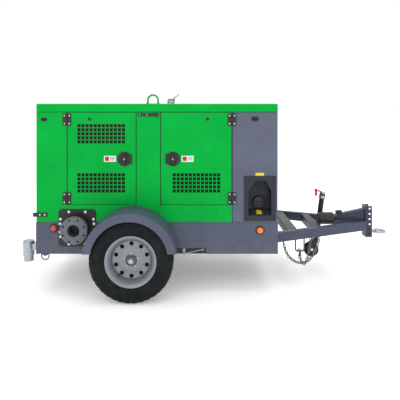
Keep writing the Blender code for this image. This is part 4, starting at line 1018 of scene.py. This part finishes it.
bands = bmesh.new()
band_profile = mm([(0, 56.5), (0, 57.2), (6, 57.2), (6, 56.5)])
for x in (1.520, 1.560, 1.600, 1.628):
    turned(band_profile, at(x, -0.121, 0.492), (1, 0, 0), 56, bands)
piece("document_tube_bands", bands, "root", "black_steel")
tube_lid_profile = mm([(0, 0), (0, 54.5), (2, 56.5), (14, 56.5), (14, 0)])
lid = turned(tube_lid_profile, at(1.6300, -0.121, 0.492), (1, 0, 0), 60,
             shift=lambda k, i: -0.0012 if i in (2, 3) and k % 3 == 0 else 0)
piece("document_tube_lid", lid, "root", "black")


# ---- jack ----
LEAN = math.radians(8.0)
JACK_TOP = at(1.579, 0, 0.691)
DOWN = Vector((-math.sin(LEAN), 0, -math.cos(LEAN)))


def down(distance):
    return JACK_TOP + DOWN * distance


collar = turned(mm([(0, 22.6), (0, 30), (2, 31.2), (26, 31.2), (28, 30), (28, 22.6)]),
                down(0.004), DOWN, 40)
piece("jack_collar", collar, "root", "galvanised")
band = turned(mm([(0, 25.1), (0, 28.5), (22, 28.5), (22, 25.1)]), down(0.250), DOWN, 40)
piece("jack_band", band, "root", "black_steel", 0.001, 1)
bracket_spots = [at(x, y, z) for y in (-0.036, 0.036) for x, z in ((1.5150, 0.390), (1.5195, 0.426))]
fasteners("jack_bracket_bolts", "root", "zinc", hex_bolt, bracket_spots, (1, 0, 0), 0.013, 0.009)
cap = turned(mm([(0, 0), (0, 24.5), (4, 26.5), (13, 26.5), (17, 22), (17, 0)]), down(-0.0128), -DOWN, 40)
cap_piece = piece("crank_cap", cap, "jack_crank", "galvanised")
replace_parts(cap_piece, "jack_crank")
start, end = down(-0.024), at(1.499, -0.072, 0.757)
arm = bmesh.new()
direction = (end - start).normalized()
flat = Matrix.Translation((start + end) / 2) @ direction.to_track_quat("X", "Z").to_matrix().to_4x4()
arm_size = Matrix.Diagonal(((end - start).length + 0.024, 0.024, 0.011, 1))
bmesh.ops.create_cube(arm, size=1, matrix=flat @ arm_size)
piece("crank_arm", arm, "jack_crank", "red", 0.0025, 2)
grip_profile = mm([(0, 0), (0, 9), (3, 11.8), (14, 12.3), (30, 10.8), (48, 12.2), (54, 11.5), (57, 8),
                   (57, 0)])
piece("crank_grip", turned(grip_profile, end - Vector((0, 0, 0.003)), (0, 0, -1), 28), "jack_crank", "red")
knob_profile = mm([(0, 0), (0, 8), (5, 8), (7, 5), (7, 0)])
knob = turned(knob_profile, end + Vector((0, 0, 0.004)), UP, 6)
piece("crank_pin", knob, "jack_crank", "zinc")
hub = at(1.468, 0, 0.162)
tread_profile = mm([(-21.8, 60), (-22.5, 66), (-19, 70.2), (-12, 71.8), (12, 71.8), (19, 70.2), (22.5, 66),
                    (21.8, 60), (17, 52), (-17, 52)])
tread = turned(tread_profile, hub, (0, 1, 0), 64)
wheel_piece = piece("jack_wheel_tread", tread, "jack_wheel", "rubber")
half_web = mm([(16, 53), (8, 45), (10, 22), (23.5, 17), (23.5, 9), (21, 6.8)])
web_profile = [(-along, radius) for along, radius in reversed(half_web)] + half_web
web = turned(web_profile, hub, (0, 1, 0), 48)
piece("jack_wheel_web", web, "jack_wheel", "black")
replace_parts(wheel_piece, "jack_wheel")
nut = bmesh.new()
for y in (-1, 1):
    hex_bolt(nut, hub + Vector((0, y * 0.0325, 0)), (0, y, 0), 0.017, 0.009)
piece("jack_axle_nuts", nut, "jack_leg", "zinc")


# ---- stage, light and camera ----
def floor_white():
    """Studio floor that glows a little, so that shadows stay pale."""
    made, tree, shader = new_material("floor_white")
    colour = (0.94, 0.94, 0.945)
    mottle(tree, shader, "Base Color", (0.8, 2.0), [(0.3, shade(colour, 0.985)), (0.7, colour)])
    set_inputs(shader, {"Roughness": 0.8, "Specular IOR Level": 0.15,
                        "Emission Color": (1, 1, 1, 1), "Emission Strength": 0.22})
    return made


floor_mesh = bpy.data.meshes.new("floor")
FLOOR_HALF = 40
corners = [(sx * FLOOR_HALF, sy * FLOOR_HALF, 0) for sx, sy in ((-1, -1), (1, -1), (1, 1), (-1, 1))]
floor_mesh.from_pydata(corners, [], [(0, 1, 2, 3)])
floor_mesh.materials.append(floor_white())
floor = bpy.data.objects.new("floor", floor_mesh)
bpy.context.scene.collection.objects.link(floor)


def area_light(name, place, target, size, power, colour=(1, 1, 1)):
    lamp_data = bpy.data.lights.new(name, "AREA")
    lamp_data.shape = "RECTANGLE"
    lamp_data.size, lamp_data.size_y = size
    lamp_data.energy = power
    lamp_data.color = colour
    thing = bpy.data.objects.new(name, lamp_data)
    thing.location = place
    thing.rotation_euler = (Vector(target) - Vector(place)).to_track_quat("-Z", "Y").to_euler()
    bpy.context.scene.collection.objects.link(thing)


area_light("key", (-2.2, -5.2, 4.6), (MID_X, 0, 0.8), (4.5, 3.0), 58)
area_light("fill", (3.6, -4.6, 2.2), (MID_X + 0.5, 0, 0.6), (3.0, 2.4), 20, (1.0, 0.99, 0.97))
area_light("top", (MID_X, 0.6, 5.5), (MID_X, 0, 0.5), (6.0, 4.0), 112)
area_light("back", (MID_X, 5.0, 3.0), (MID_X, 0, 0.8), (4.0, 2.0), 60)

world = bpy.data.worlds.new("studio")
bpy.context.scene.world = world
world.use_nodes = True
set_inputs(world.node_tree.nodes["Background"], {"Color": (1.0, 1.0, 1.0, 1), "Strength": 1.0})

camera_data = bpy.data.cameras.new("camera")
camera_data.sensor_width = 36
camera_data.lens = 42.1
camera_data.shift_x = 0.0125
camera_data.shift_y = -0.2325
camera = bpy.data.objects.new("camera", camera_data)
camera.location = (MID_X + 0.325, -4.61, 1.558 + LIFT)
camera.rotation_euler = (math.radians(90), 0, 0)
bpy.context.scene.collection.objects.link(camera)
bpy.context.scene.camera = camera
bpy.context.scene.view_settings.view_transform = "Standard"
